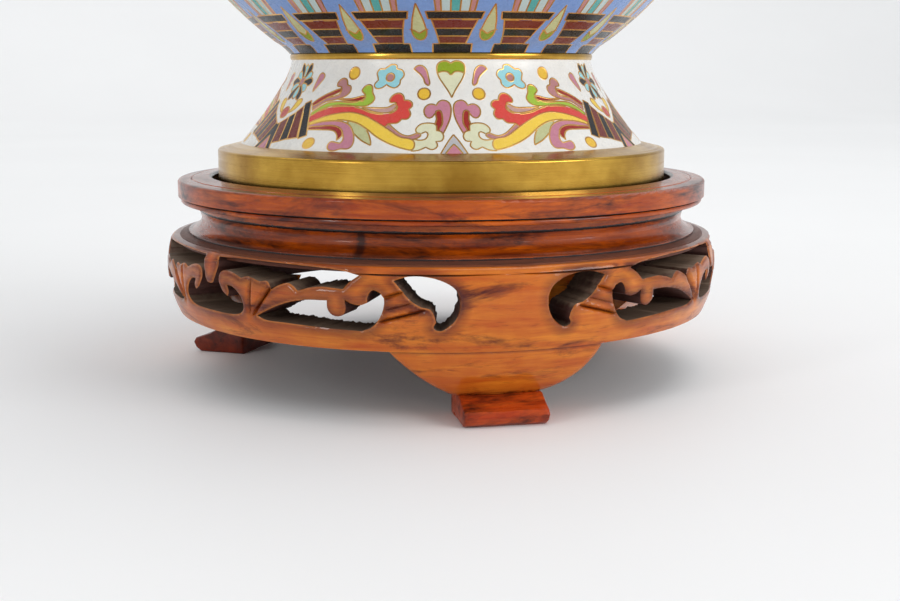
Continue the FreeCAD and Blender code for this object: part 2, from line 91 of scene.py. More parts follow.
# (radius, height) corners from the foot up. A third number is the radius of the arc that arrives
# there, negative where it is hollow.
VASE_FACE = [
    (62.8, 71.3), (49.1, 90.0, -140), (46.6, 96.5, -17.5), (47.2, 98.4), (51.5, 102.0, -14),
    (98.4, 196.2, 118), (58.4, 265.5, 80), (38.0, 292.0, -44), (37.5, 295.0), (52.0, 433.0, -195),
]
APRON_FACE = [(83.2, 20.7), (85.6, 41.6, 31.6), (84.2, 43.5, 3.0), (82.3, 43.7)]
LEG_FACE = [(76.5, 7.5), (83.2, 20.7, 40)]
LEG_BACK = [(66.0, 7.5), (70.0, 20.7)]
APRON_BACK_RADIUS = 73.5
DECK_UNDERSIDE = 41.5
DECK_RADIUS = 82.32
ENAMEL_THICKNESS = 1.0


def traced(corners, steps=40):
    """The corners' polyline, with each arc cut into steps."""
    points = [np.array(corners[0][:2], float)]
    for corner in corners[1:]:
        start = points[-1]
        end = np.array(corner[:2], float)
        if len(corner) == 2:
            points.append(end)
            continue
        chord = end - start
        length = np.linalg.norm(chord)
        left = np.array((-chord[1], chord[0])) / length
        depth = math.sqrt(corner[2] ** 2 - length ** 2 / 4)
        centre = (start + end) / 2 + left * math.copysign(depth, corner[2])
        first = math.atan2(*(start - centre)[::-1])
        sweep = 2 * math.asin(length / 2 / corner[2])
        for step in range(1, steps + 1):
            turn = first + sweep * step / steps
            points.append(centre + abs(corner[2]) * np.array((math.cos(turn), math.sin(turn))))
    return np.array(points)


def radius_of(corners):
    """A function from height to radius along the corners, which climb all the way."""
    points = traced(corners)
    return lambda height: np.interp(height, points[:, 1], points[:, 0])


vase_radius = radius_of(VASE_FACE)
leg_radius = radius_of(LEG_FACE)
leg_back_radius = radius_of(LEG_BACK)


def around(azimuth, radius, height):
    """Points in metres at azimuths in degrees, radii and heights."""
    turn = np.radians(azimuth)
    return np.stack([radius * np.sin(turn), -radius * np.cos(turn), height + 0 * turn], axis=-1) * MM


# ---------------------------------------------------------------- outlines on the flat

def smoothed(outline, step, closed=True):
    """The outline through its points as a dense polyline, smooth except at its corners."""
    points = np.array([point[:2] for point in outline], float)
    sharp = [len(point) > 2 for point in outline]
    count = len(points)
    ahead = np.roll(points, -1, axis=0) - points
    if not closed:
        sharp[0] = sharp[-1] = True
    made = []
    for i in range(count if closed else count - 1):
        j = (i + 1) % count
        chord = ahead[i]
        length = np.linalg.norm(chord)
        leave = chord if sharp[i] else chord + ahead[i - 1]
        arrive = chord if sharp[j] else chord + ahead[j]
        leave = leave / max(np.linalg.norm(leave), 1e-9) * length
        arrive = arrive / max(np.linalg.norm(arrive), 1e-9) * length
        pieces = max(1, round(length / step))
        for t in np.arange(pieces) / pieces:
            made.append(
                (2 * t ** 3 - 3 * t ** 2 + 1) * points[i] + (t ** 3 - 2 * t ** 2 + t) * leave
                + (3 * t ** 2 - 2 * t ** 3) * points[j] + (t ** 3 - t ** 2) * arrive
            )
    if not closed:
        made.append(points[-1])
    return np.array(made)


def inside(points, polygon):
    """True for each point that lies in the closed polygon."""
    x, y = points[:, 0, None], points[:, 1, None]
    x0, y0 = polygon[:, 0], polygon[:, 1]
    x1, y1 = np.roll(x0, -1), np.roll(y0, -1)
    rise = np.where(y1 == y0, 1e-12, y1 - y0)
    crosses = ((y0 > y) != (y1 > y)) & (x < (x1 - x0) * (y - y0) / rise + x0)
    return crosses.sum(axis=1) % 2 == 1


def ring_of(outline):
    """The outline as a line that ends where it starts."""
    return np.vstack([outline, outline[:1]])


def clipped(line, low, high):
    """The stretches of a polyline within the box from low to high, each a list of points."""
    runs = []
    for start, end in zip(line[:-1], line[1:]):
        way = end - start
        enter, leave = 0.0, 1.0
        for axis in (0, 1):
            if abs(way[axis]) < 1e-12:
                if not low[axis] <= start[axis] <= high[axis]:
                    enter = 2.0
                continue
            a, b = sorted((edge[axis] - start[axis]) / way[axis] for edge in (low, high))
            enter, leave = max(enter, a), min(leave, b)
        if enter >= leave:
            continue
        first, last = start + way * enter, start + way * leave
        if runs and np.allclose(runs[-1][-1], first, atol=1e-7):
            runs[-1].append(last)
        else:
            runs.append([first, last])
    return [np.array(run) for run in runs]


def straight(outline):
    """The outline with every point a corner."""
    return [(x, y, CORNER) for x, y in outline]


def widened(outline, scale):
    """The outline with its first axis scaled."""
    return [(x * scale, y, *rest) for x, y, *rest in outline]


def mirrored(side, axis=0):
    """The outline whose right half runs from the mirror axis to the mirror axis."""
    return side + [(2 * axis - x, y, *rest) for x, y, *rest in side[-2:0:-1]]


def moved(outline, scale=(1, 1), shift=(0, 0), turn=0.0):
    """The outline scaled about the origin, turned by degrees and shifted."""
    c, s = math.cos(math.radians(turn)), math.sin(math.radians(turn))
    made = []
    for point in outline:
        x, y = point[0] * scale[0], point[1] * scale[1]
        made.append((x * c - y * s + shift[0], x * s + y * c + shift[1], *point[2:]))
    return made


def disc(x, y, across, up, count=12):
    """An ellipse of the half widths across and up."""
    turns = [2 * math.pi * i / count for i in range(count)]
    return [(x + across * math.sin(t), y + up * math.cos(t)) for t in turns]


def drop(x, y, width, height):
    """A teardrop with its point at (x, y) and its body hanging below."""
    side = [
        (0, 0, CORNER), (0.14, -0.2), (0.27, -0.44), (0.42, -0.66), (0.5, -0.8), (0.4, -0.94), (0.2, -0.99),
        (0, -1),
    ]
    return moved(mirrored(side), (width, height), (x, y))


def petal(inner, outer, width, turn):
    """A pointed oval that reaches from inner to outer away from the origin, turned by degrees."""
    side = [(0, 0), (0.3, 0.25), (0.5, 0.62), (0.33, 0.88), (0, 1, CORNER)]
    placed = [(x * width, inner + y * (outer - inner), *rest) for x, y, *rest in mirrored(side)]
    return moved(placed, turn=turn)


# ---------------------------------------------------------------- cells of enamel in a flat sheet

LEAST_AREA = 1e-7   # twice the area of the thinnest triangle that counts, in square millimetres


def hex_grid(low, high, spacing):
    """Points of a triangular grid in the box, with regular rows on its four edges."""
    across, up = high[0] - low[0], high[1] - low[1]
    columns, rows = max(1, round(across / spacing)), max(1, round(up / (spacing * 0.87)))
    points = []
    for row in range(rows + 1):
        y = low[1] + up * row / rows
        edge_row = row in (0, rows)
        shift = 0.5 if row % 2 and not edge_row else 0.0
        points += [(low[0] + across * min(1.0, (i + shift) / columns), y) for i in range(columns + 1)]
        if shift:
            points.append((low[0], y))
    return np.array(points)


def triangulated(lines, low, high, spacing):
    """Triangles of the box with the lines as edges. Returns its points and its triangles."""
    points, edges = [], []
    for line in lines:
        first = len(points)
        points += list(line)
        edges += [(first + i, first + i + 1) for i in range(len(line) - 1)]
    grid = hex_grid(low, high, spacing)
    if points:
        near = np.array(points)
        apart = np.array([np.min(np.sum((near - p) ** 2, axis=1)) for p in grid])
        on_edge = (grid == low).any(axis=1) | (grid == high).any(axis=1)
        grid = grid[(apart > (0.45 * spacing) ** 2) | on_edge]
    points += list(grid)
    first = len(points)
    points += [(low[0], low[1]), (high[0], low[1]), (high[0], high[1]), (low[0], high[1])]
    edges += [(first + i, first + (i + 1) % 4) for i in range(4)]
    made = delaunay_2d_cdt([Vector(p) for p in points], edges, [], 0, 1e-5)
    flat = np.array([tuple(v) for v in made[0]])
    faces = np.array([f for f in made[2] if len(f) == 3])
    one, two = flat[faces[:, 1]] - flat[faces[:, 0]], flat[faces[:, 2]] - flat[faces[:, 0]]
    return flat, faces[np.abs(one[:, 0] * two[:, 1] - one[:, 1] * two[:, 0]) > LEAST_AREA]


def painted(motifs, middles, ground):
    """The colour of each point of a sheet, painted with the motifs one over the other."""
    paint = np.array([linear(PALETTE[ground])] * len(middles))
    for colour, outline in motifs:
        hit = inside(middles, outline)
        if isinstance(colour, dict):
            line = colour["line"]
            over = middles[:, 1] > np.interp(middles[:, 0], line[:, 0], line[:, 1])
            paint[hit & over] = linear(PALETTE[colour["above"]])
            paint[hit & ~over] = linear(PALETTE[colour["below"]])
        else:
            paint[hit] = linear(PALETTE[colour])
    return paint


def wire_lines(motifs, low, high, gap):
    """The lines that show as wires: no part of one lies under a later cell or doubles its side."""
    runs = []
    for place, (colour, outline) in enumerate(motifs):
        lines = [ring_of(outline)]
        if isinstance(colour, dict):
            lines.append(colour["line"])
        for number, line in enumerate(lines):
            keep = inside(line, outline) if number else np.ones(len(line), bool)
            for _, later in motifs[place + 1:]:
                beyond = (later.min(axis=0) > line.max(axis=0) + gap).any()
                if beyond or (later.max(axis=0) < line.min(axis=0) - gap).any():
                    continue
                keep &= ~inside(line, later)
                apart = ((line[:, None, :] - later[None, :, :]) ** 2).sum(axis=2).min(axis=1)
                keep &= apart > gap ** 2
            start = 0
            while start < len(line):
                if not keep[start]:
                    start += 1
                    continue
                end = start
                while end + 1 < len(line) and keep[end + 1]:
                    end += 1
                stretch = line[max(0, start - 1):end + 2]
                if len(stretch) > 2:
                    runs += clipped(stretch, low, high)
                start = end + 1
    return runs


# ---------------------------------------------------------------- meshes

def mesh_piece(name, points, faces, materials, face_materials=None, sharp=40.0):
    """A new object with this mesh, smooth but for edges sharper than the angle."""
    mesh = bpy.data.meshes.new(name)
    mesh.from_pydata(points.tolist(), [], faces)
    mesh.update()
    for material in materials:
        mesh.materials.append(material)
    if face_materials is not None:
        mesh.polygons.foreach_set("material_index", np.asarray(face_materials, np.int32))
    mesh.polygons.foreach_set("use_smooth", np.ones(len(mesh.polygons), bool))
    mesh.set_sharp_from_angle(angle=math.radians(sharp))
    piece = bpy.data.objects.new(name, mesh)
    bpy.context.scene.collection.objects.link(piece)
    return piece


def open_edges(triangles):
    """The directed edges that only one triangle has."""
    edges = [(t[i], t[(i + 1) % 3]) for t in triangles.tolist() for i in range(3)]
    known = Counter((min(e), max(e)) for e in edges)
    return [e for e in edges if known[(min(e), max(e))] == 1]


def thick_sheet(outer, inner, triangles):
    """A closed solid between two matching skins: its points, and its faces in the order of the
    outer skin, the inner skin and the walls between them."""
    count = len(outer)
    faces = triangles.tolist()
    faces += [(count + t[2], count + t[1], count + t[0]) for t in triangles.tolist()]
    faces += [(b, a, count + a, count + b) for a, b in open_edges(triangles)]
    return np.vstack([outer, inner]), faces


def ribbon(centre, normal, width, sunk, proud, closed):
    """A flat wire along the centre line: points and faces of its closed sweep."""
    ahead = np.roll(centre, -1, axis=0) - np.roll(centre, 1, axis=0)
    if not closed:
        ahead[0], ahead[-1] = centre[1] - centre[0], centre[-1] - centre[-2]
    side = np.cross(ahead, normal)
    side /= np.maximum(np.linalg.norm(side, axis=1, keepdims=True), 1e-12)
    section = [
        (-0.5, -sunk), (-0.5, 0.2 * proud), (-0.25, proud), (0.25, proud), (0.5, 0.2 * proud), (0.5, -sunk),
    ]
    rings = np.stack([centre + side * width * across + normal * up for across, up in section], axis=1)
    count, around_it = len(centre), len(section)
    faces = []
    for i in range(count if closed else count - 1):
        j = (i + 1) % count
        for k in range(around_it):
            m = (k + 1) % around_it
            faces.append((i * around_it + k, i * around_it + m, j * around_it + m, j * around_it + k))
    if not closed:
        faces.append(tuple(range(around_it))[::-1])
        faces.append(tuple((count - 1) * around_it + k for k in range(around_it)))
    return rings.reshape(-1, 3), faces


def vase_normal(azimuth, height):
    """The way the vase's surface faces."""
    slope = (vase_radius(height + 0.2) - vase_radius(height - 0.2)) / 0.4
    level = 1 / np.sqrt(1 + slope ** 2)
    turn = np.radians(azimuth)
    return np.stack([np.sin(turn) * level, -np.cos(turn) * level, -slope * level], axis=-1)


WIRE_WIDTH = 0.46
WIRE_SUNK = 0.35
WIRE_PROUD = 0.05
WIRE_GAP = 0.3        # a wire nearer than this to another cell's wire is left out
FINEST_STEP = 0.55    # between the points of a smooth outline


def flattened(motifs, width_scale, step):
    """The motifs as dense outlines in millimetres. The colour of one with a wire across it is
    the colours below and above and that wire's line."""
    flat = []
    for colour, outline in motifs:
        if isinstance(colour, tuple):
            below, line, above = colour
            line = smoothed(widened(line, width_scale), step, closed=False)
            colour = {"below": below, "line": line, "above": above}
        flat.append((colour, smoothed(widened(outline, width_scale), step)))
    return flat


def field_wires(name, runs, copies, width_scale):
    """One piece with the wires along the runs in every copy of a field's sheet."""
    points, faces, count = [], [], 0
    for base, way in copies:
        for run in runs:
            azimuth, height = base + way * run[:, 0] / width_scale, run[:, 1]
            centre = around(azimuth, vase_radius(height), height) / MM
            closed = np.allclose(run[0], run[-1], atol=1e-6)
            end = -1 if closed else None
            facing = vase_normal(azimuth, height)
            part, sides = ribbon(centre[:end], facing[:end], WIRE_WIDTH * way, WIRE_SUNK, WIRE_PROUD, closed)
            points.append(part)
            faces += [tuple(v + count for v in side[::way]) for side in sides]
            count += len(part)
    wires = mesh_piece(name + "_wires", np.vstack(points) * MM, faces, [WIRE], sharp=60.0)
    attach(wires, "vase")


def enamel_field(name, node, motifs, ground, repeats, axis, spacing, width_scale, slot):
    """The cells and the wires of one enamel field of the vase. The motifs are outlines in degrees
    from a mirror line and millimetres of height. Each repeat holds them and their mirror image."""
    lowest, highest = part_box(node)
    low_height, high_height = lowest.z / MM, highest.z / MM
    half = 180.0 / repeats
    low = np.array((0.0, low_height))
    high = np.array((half * width_scale, high_height))
    flat = flattened(motifs, width_scale, max(FINEST_STEP, spacing * 0.5))
    lines = []
    for colour, outline in flat:
        lines += clipped(ring_of(outline), low, high)
        if isinstance(colour, dict):
            lines += clipped(colour["line"], low, high)
    sheet, triangles = triangulated(lines, low, high, spacing)
    paint = painted(flat, sheet[triangles].mean(axis=1), ground)

    # each copy of the sheet: the azimuth it starts from and the way it runs
    copies = [(axis + copy * 2 * half, way) for copy in range(repeats) for way in (1, -1)]
    azimuth = np.concatenate([base + way * sheet[:, 0] / width_scale for base, way in copies])
    height = np.tile(sheet[:, 1], len(copies))
    triangles = np.vstack([triangles[:, ::way] + i * len(sheet) for i, (_, way) in enumerate(copies)])
    paint = np.tile(paint, (len(copies), 1))
    key = np.round(np.stack([(azimuth + 1e-7) % 360, height], axis=1), 4)
    _, firsts, places = np.unique(key, axis=0, return_index=True, return_inverse=True)
    azimuth, height, triangles = azimuth[firsts], height[firsts], places.ravel()[triangles]
    whole = (triangles != np.roll(triangles, 1, axis=1)).all(axis=1)
    triangles, paint = triangles[whole], paint[whole]

    outer = around(azimuth, vase_radius(height), height)
    facing = vase_normal(azimuth, height)
    inner = outer - facing * (ENAMEL_THICKNESS * MM)
    inner[:, 2] = np.clip(inner[:, 2], low_height * MM, high_height * MM)
    points, faces = thick_sheet(outer, inner, triangles)
    cells = mesh_piece(name + "_cells", points, faces, [ENAMEL])
    cells.data.normals_split_custom_set_from_vertices(np.vstack([facing, -facing]).tolist())
    skin_paint = np.repeat(np.vstack([paint, paint]), 3, axis=0)
    walls = len(faces) - 2 * len(triangles)
    wall_paint = np.tile(linear(PALETTE[ground]), (4 * walls, 1))
    layer = cells.data.color_attributes.new("glaze", "FLOAT_COLOR", "CORNER")
    layer.data.foreach_set("color", np.vstack([skin_paint, wall_paint]).astype(np.float32).ravel())
    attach(cells, "vase")
    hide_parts(node)
    field_wires(name, wire_lines(flat, low, high, WIRE_GAP), copies, width_scale)


# ---------------------------------------------------------------- materials

TYPICAL_RADIUS = 0.08   # metres: turns an angle into a length for the textures


class Shades:
    """A material's node tree, with short calls for its nodes."""

    def __init__(self, name):
        self.material = bpy.data.materials.new(name)
        self.material.use_nodes = True
        self.tree = self.material.node_tree
        self.shader = self.tree.nodes["Principled BSDF"]

    def node(self, kind, inputs=None, **settings):
        made = self.tree.nodes.new("ShaderNode" + kind)
        for key, value in settings.items():
            setattr(made, key, value)
        for key, value in (inputs or {}).items():
            self.feed(made.inputs[key], value)
        return made

    def feed(self, socket, value):
        if isinstance(value, bpy.types.NodeSocket):
            self.tree.links.new(value, socket)
        else:
            socket.default_value = value

    def math(self, operation, a, b=0.0, clamp=False):
        return self.node("Math", {0: a, 1: b}, operation=operation, use_clamp=clamp).outputs[0]

    def noise(self, vector, scale, detail=3.0, rough=0.55, distortion=0.0):
        inputs = {"Scale": scale, "Detail": detail, "Roughness": rough, "Distortion": distortion}
        return self.node("TexNoise", {"Vector": vector, **inputs}).outputs["Fac"]

    def span(self, value, low, high, to_low=0.0, to_high=1.0):
        inputs = {"Value": value, "From Min": low, "From Max": high, "To Min": to_low, "To Max": to_high}
        return self.node("MapRange", inputs, clamp=True).outputs["Result"]

    def mix(self, share, a, b, blend="MIX"):
        made = self.node("Mix", data_type="RGBA", blend_type=blend)
        for place, value in ((0, share), (6, a), (7, b)):
            self.feed(made.inputs[place], value)
        return made.outputs[2]

    def position(self):
        return self.node("TexCoord").outputs["Object"]

    def upward(self):
        """How far the surface faces up, from -1 to 1."""
        normal = self.node("NewGeometry").outputs["Normal"]
        return self.node("SeparateXYZ", {0: normal}).outputs[2]

    def cylinder(self):
        """The angle round the vertical axis, the distance from it and the height."""
        x, y, z = self.node("SeparateXYZ", {0: self.position()}).outputs
        turn = self.math("ARCTAN2", x, self.math("MULTIPLY", y, -1.0))
        square = self.math("ADD", self.math("MULTIPLY", x, x), self.math("MULTIPLY", y, y))
        return turn, self.math("SQRT", square), z

    def along_ring(self, stretch):
        """Coordinates whose first axis runs round the vertical axis, squeezed by stretch."""
        turn, radius, z = self.cylinder()
        run = self.math("MULTIPLY", turn, TYPICAL_RADIUS * stretch)
        return self.node("CombineXYZ", {0: run, 1: radius, 2: z}).outputs[0]

    def bump(self, height, strength, distance=0.0002):
        made = self.node("Bump", {"Height": height, "Strength": strength, "Distance": distance})
        self.feed(self.shader.inputs["Normal"], made.outputs[0])

    def set(self, **values):
        for key, value in values.items():
            self.feed(self.shader.inputs[key.replace("_", " ")], value)
        return self.material


def enamel(name, colour=None):
    """Polished enamel: mottled, a little pitted, softly shining."""
    shades = Shades(name)
    place = shades.position()
    if colour is None:
        base = shades.node("Attribute", attribute_name="glaze").outputs["Color"]
    else:
        base = linear(colour)
    cloud = shades.span(shades.noise(place, 260, 4.0, 0.6), 0.3, 0.7, 0.95, 1.03)
    shade = shades.node("CombineColor", {0: cloud, 1: cloud, 2: cloud}).outputs[0]
    base = shades.mix(1.0, base, shade, "MULTIPLY")
    fleck = shades.span(shades.noise(place, 1500, 2.0, 0.6), 0.62, 0.74)
    base = shades.mix(shades.math("MULTIPLY", fleck, 0.16), base, linear((120, 120, 122)))
    pits = shades.noise(place, 2200, 2.0, 0.5)
    roughness = shades.span(shades.noise(place, 500, 3.0), 0.3, 0.7, 0.2, 0.36)
    shades.bump(pits, 0.10, 0.00008)
    return shades.set(Base_Color=base, Roughness=roughness, Specular_IOR_Level=0.4)


def metal(name, bright, dull, low_gloss, high_gloss, streak=6.0):
    """Rubbed metal with fine turning lines and patches that have gone dull."""
    shades = Shades(name)
    ring = shades.along_ring(1.0 / streak)
    patch = shades.span(shades.noise(shades.position(), 60, 4.0, 0.6), 0.35, 0.68)
    lines = shades.noise(ring, 2600, 3.0, 0.6)
    base = shades.mix(patch, linear(bright), linear(dull))
    base = shades.mix(shades.span(lines, 0.35, 0.75, 0.0, 0.35), base, linear(dull))
    shades.bump(lines, 0.10, 0.00004)
    roughness = shades.span(shades.noise(ring, 900, 3.0), 0.3, 0.7, low_gloss, high_gloss)
    return shades.set(Base_Color=base, Metallic=1.0, Roughness=roughness)


def dark_lines(shades, heights, radii, azimuths):
    """Where dark lines run, for dark joints and for painted shadow in gaps between pieces: round the
    ring at heights and at radii, and up it at azimuths, each with a half width in millimetres or degrees."""
    turn, out, z = shades.cylinder()
    ragged = shades.math("MULTIPLY", shades.noise(shades.along_ring(0.5), 700, 4.0, 0.7), 1.6)
    total = 0.0
    for across, place, width in [(z, *line) for line in heights] + [(out, *line) for line in radii]:
        apart = shades.math("ABSOLUTE", shades.math("SUBTRACT", across, place * MM))
        reach = shades.math("MULTIPLY", ragged, width * MM)
        total = shades.math("MAXIMUM", total, shades.math("GREATER_THAN", reach, apart))
    for azimuth, width in azimuths:
        apart = shades.math("ABSOLUTE", shades.math("SUBTRACT", turn, math.radians(azimuth)))
        reach = math.radians(width)
        mark = shades.span(shades.math("DIVIDE", apart, ragged), reach, reach * 0.4, 0.0, 0.85)
        total = shades.math("MAXIMUM", total, mark)
    return total


WORN_WOOD = (222, 134, 62)
LINE_BLACK = (34, 14, 12)
LYING_DUST = (112, 76, 62)


def wood(
    name, pale, rich, dark, stain, coat, patches, gloss=0.3, dust=0.0, heights=(), radii=(), azimuths=(),
):
    """Lacquered wood: grain along the ring, dark stain where the noise is within patches, pores and
    a coat. The mesh may say where painted shade darkens the carving and where its edges are worn."""
    shades = Shades(name)
    ring = shades.along_ring(0.10)
    grain = shades.noise(ring, 420, 5.0, 0.62, 0.4)
    fine = shades.noise(ring, 1700, 3.0, 0.6)
    cloud = shades.noise(shades.position(), 55, 4.0, 0.6)
    blotch = shades.noise(shades.along_ring(0.22), 150, 6.0, 0.7, 0.5)
    base = shades.mix(shades.span(grain, 0.34, 0.68), linear(pale), linear(rich))
    base = shades.mix(shades.span(cloud, 0.4, 0.66, 0.0, 0.6), base, linear(rich))
    stained = shades.math("MULTIPLY", shades.span(blotch, *patches), stain * 1.6, True)
    base = shades.mix(stained, base, linear(dark))
    base = shades.mix(shades.span(fine, 0.60, 0.78, 0.0, 0.55), base, linear(dark))
    # painted shade: darker wood near the openings, down in the knife cuts and at the ends of the legs, read
    # from the mesh
    painted_shade = shades.node("Attribute", attribute_name="painted_shade").outputs["Fac"]
    painted_shade = shades.math("MULTIPLY", painted_shade, shades.span(blotch, 0.3, 0.62, 0.45, 1.25), True)
    base = shades.mix(painted_shade, base, linear(dark))
    worn = shades.node("Attribute", attribute_name="worn").outputs["Fac"]
    worn = shades.math("MULTIPLY", worn, shades.span(cloud, 0.42, 0.6, 0.0, 0.7))
    base = shades.mix(worn, base, linear(WORN_WOOD))
    if heights or radii or azimuths:
        base = shades.mix(dark_lines(shades, heights, radii, azimuths), base, linear(LINE_BLACK))
    level = shades.span(shades.upward(), 0.86, 0.97, 0.0, dust)
    lying = shades.math("MULTIPLY", level, shades.span(fine, 0.2, 0.5, 0.6, 1.0))
    base = shades.mix(lying, base, linear(LYING_DUST))
    shades.bump(shades.math("ADD", grain, shades.math("MULTIPLY", fine, 0.5)), 0.16, 0.00012)
    roughness = shades.span(blotch, 0.3, 0.75, gloss, gloss + 0.22)
    return shades.set(
        Base_Color=base, Roughness=roughness, Specular_IOR_Level=0.15, Coat_Weight=coat, Coat_Roughness=0.09,
    )


def raw_cut(name):
    """Saw-cut wood inside the openings: dusty grey where it faces up, dark where it doesn't."""
    shades = Shades(name)
    place = shades.position()
    dust = shades.math("ADD", shades.upward(), shades.noise(place, 500, 3.0))
    dust = shades.span(dust, 0.8, 1.35, 0.0, 0.85)
    base = shades.mix(shades.noise(place, 900, 4.0, 0.6), linear((44, 20, 16)), linear((84, 40, 28)))
    base = shades.mix(dust, base, linear((110, 90, 72)))
    shades.bump(shades.noise(place, 900, 3.0), 0.3, 0.0002)
    return shades.set(Base_Color=base, Roughness=0.75)


ENAMEL = enamel("cell_enamel")
TURQUOISE = enamel("lining_enamel", (92, 168, 178))
WIRE = metal("cloison_gilt", (248, 202, 122), (186, 130, 66), 0.26, 0.42, 1.0)
BRASS = metal("rubbed_brass", (210, 168, 74), (160, 118, 44), 0.18, 0.3, 80.0)
COPPER = metal("copper_sheet", (184, 110, 78), (120, 66, 48), 0.35, 0.5)
WOOD = wood(
    "lacquered_wood", (218, 130, 34), (178, 76, 16), (78, 20, 10),
    stain=0.75, coat=0.5, patches=(0.54, 0.72), dust=0.85,
)
# its dark lines: dark joints where the turned pieces meet, with painted shadow in the gaps between them; the
# ring at radius 72.2 is painted contact shadow under the vase's brass foot ring, with a black lacquer line
RIM_WOOD = wood(
    "turned_wood", (206, 98, 10), (140, 46, 6), (60, 14, 8),
    stain=0.75, coat=0.4, patches=(0.48, 0.68), gloss=0.2, dust=0.5,
    heights=[(55.2, 0.3), (53.2, 0.25), (51.3, 0.4)], radii=[(72.2, 0.9)],
)
# its dark lines: dark joints where the moulding meets the deck and the rim, with painted shadow in the gaps,
# and a dark joint up the moulding
WAIST_WOOD = wood(
    "waist_wood", (190, 84, 6), (112, 36, 6), (42, 12, 8),
    stain=0.75, coat=0.45, patches=(0.48, 0.7), gloss=0.18, dust=0.3,
    heights=[(44.6, 0.25), (51.2, 0.4)], azimuths=[(-27.5, 1.6)],
)
DECK_WOOD = wood(
    "dusty_wood", (112, 62, 42), (88, 44, 30), (46, 20, 16),
    stain=0.6, coat=0.1, patches=(0.5, 0.7), gloss=0.42, dust=0.5,
)
PAD_WOOD = wood(
    "dark_lacquered_wood", (206, 88, 26), (160, 50, 14), (52, 16, 12),
    stain=0.75, coat=0.25, patches=(0.5, 0.72), gloss=0.2,
)
# a darker copy of the pads' wood, as painted shade for the left pad, which stands in shadow
PAINTED_SHADE_WOOD = wood(
    "painted_shade_wood", (128, 44, 18), (92, 28, 12), (40, 14, 10), stain=0.7, coat=0.25, patches=(0.5, 0.72),
)
PLAIN_WOOD = wood(
    "plain_wood", (196, 160, 112), (176, 138, 92), (130, 96, 62),
    stain=0.3, coat=0.0, patches=(0.6, 0.8), gloss=0.6,
)
RAW_CUT = raw_cut("saw_cut_wood")

NODE_MATERIALS = {
    RIM_WOOD: ("rim_ring",),
    WAIST_WOOD: ("waist_moulding",),
    DECK_WOOD: ("deck_ring", "seat_board"),
    PLAIN_WOOD: ("leg_dowels",),
    BRASS: ("foot_ring", "waist_band", "neck_band", "mouth_rim"),
    COPPER: ("foot_core", "lower_body_core", "upper_body_core", "neck_core"),
    TURQUOISE: ("foot_lining", "bowl_lining", "shoulder_lining", "neck_lining"),
    WIRE: ("border_wires",),
}
for material, nodes in NODE_MATERIALS.items():
    for node in nodes:
        mesh = NODES[node].data
        mesh.materials.clear()
        mesh.materials.append(material)
        mesh.polygons.foreach_set("use_smooth", np.ones(len(mesh.polygons), bool))
        mesh.set_sharp_from_angle(angle=math.radians(32))

# ---------------------------------------------------------------- the foot's decoration

# Outlines are (degrees from the mirror line through the heart, millimetres above the floor).
HEART = mirrored([
    (0, 95.4, CORNER), (1.5, 96.0), (3.4, 95.8), (4.6, 94.9), (4.7, 93.3), (3.9, 91.4), (2.4, 89.5),
    (1, 87.7), (0, 86.0, CORNER),
])
HEART_SCALLOP = [(-6, 92.2), (-3, 93.1), (-1.2, 93.0), (0, 92.2), (1.2, 93.0), (3, 93.1), (6, 92.2)]
COMMA = [
    (7.1, 89.4), (7.5, 91.6), (8.1, 93.3), (9.1, 94.4), (10.4, 94.8), (11.7, 94.5), (12.5, 93.8, CORNER),
    (10.1, 92.2), (9, 91), (8.5, 89.9),
]
FIDDLEHEAD = [
    (2.7, 76.5, CORNER), (1.7, 78.3), (0.8, 80.3), (0.4, 82), (0.4, 83.5), (1.1, 84.8), (2.9, 85.3),
    (4.1, 84.8), (4.7, 83.9, CORNER), (5.6, 84.2), (6.8, 84.2), (8, 83.4), (8.3, 82.2), (7.7, 81),
    (6.6, 80.5), (5.5, 81.1), (4.8, 82.3, CORNER), (4.6, 80.2), (5, 78.8), (4.6, 77.6, CORNER),
]
FIDDLEHEAD_STRIPE = [
    (3.4, 82.4), (4.8, 82.3), (4.6, 80.2), (5, 78.8), (4.6, 77.6), (4.1, 77), (3.6, 77.8), (2.9, 79.3),
]
ARCH = [(-0.1, 76.3, CORNER), (1.3, 74.6), (2.4, 72.9), (3.4, 71.2, CORNER), (-0.1, 71.2, CORNER)]
ARCH_INSIDE = [(-0.1, 73.8, CORNER), (1.1, 72.6), (2.2, 71.2, CORNER), (-0.1, 71.2, CORNER)]
CLOUD = [
    (4.7, 78.7), (6.4, 79.2), (8.6, 79), (9.8, 78.2), (10.2, 77.3), (9.6, 76.5), (8.6, 76.4), (7.4, 76.9),
    (6.8, 76.2), (7.3, 75.1), (8.8, 74.7), (12.2, 74.8), (11.4, 72.2), (9, 72.1), (7.2, 72.9, CORNER),
    (5.5, 72.3), (4.2, 73.2), (4.6, 74.4, CORNER), (3.1, 74.6), (2.6, 75.8), (3.4, 77), (4.5, 77.2, CORNER),
]
YELLOW_PLUME = [
    (10.6, 74.6), (14.3, 75.5), (18.4, 77.7), (22.4, 79.6), (26.4, 81.1), (30.4, 81.8), (34.4, 81.6),
    (38.4, 80.9), (42.4, 79.7), (44.8, 78.7, CORNER), (43.9, 77.9, CORNER), (40.4, 79), (36.4, 79.6),
    (32.4, 79.7), (28.1, 79.1), (24.4, 77.6), (20.4, 75.3), (16.5, 73.6), (12.5, 72.4), (10.4, 72.4),
]
SHADOW_TAIL = [
    (8.8, 76.3), (12.1, 75.8), (14.3, 76.4), (16.5, 77.8), (18.6, 78.9), (18.4, 77.4), (14.3, 75.2),
    (11, 74.7),
]
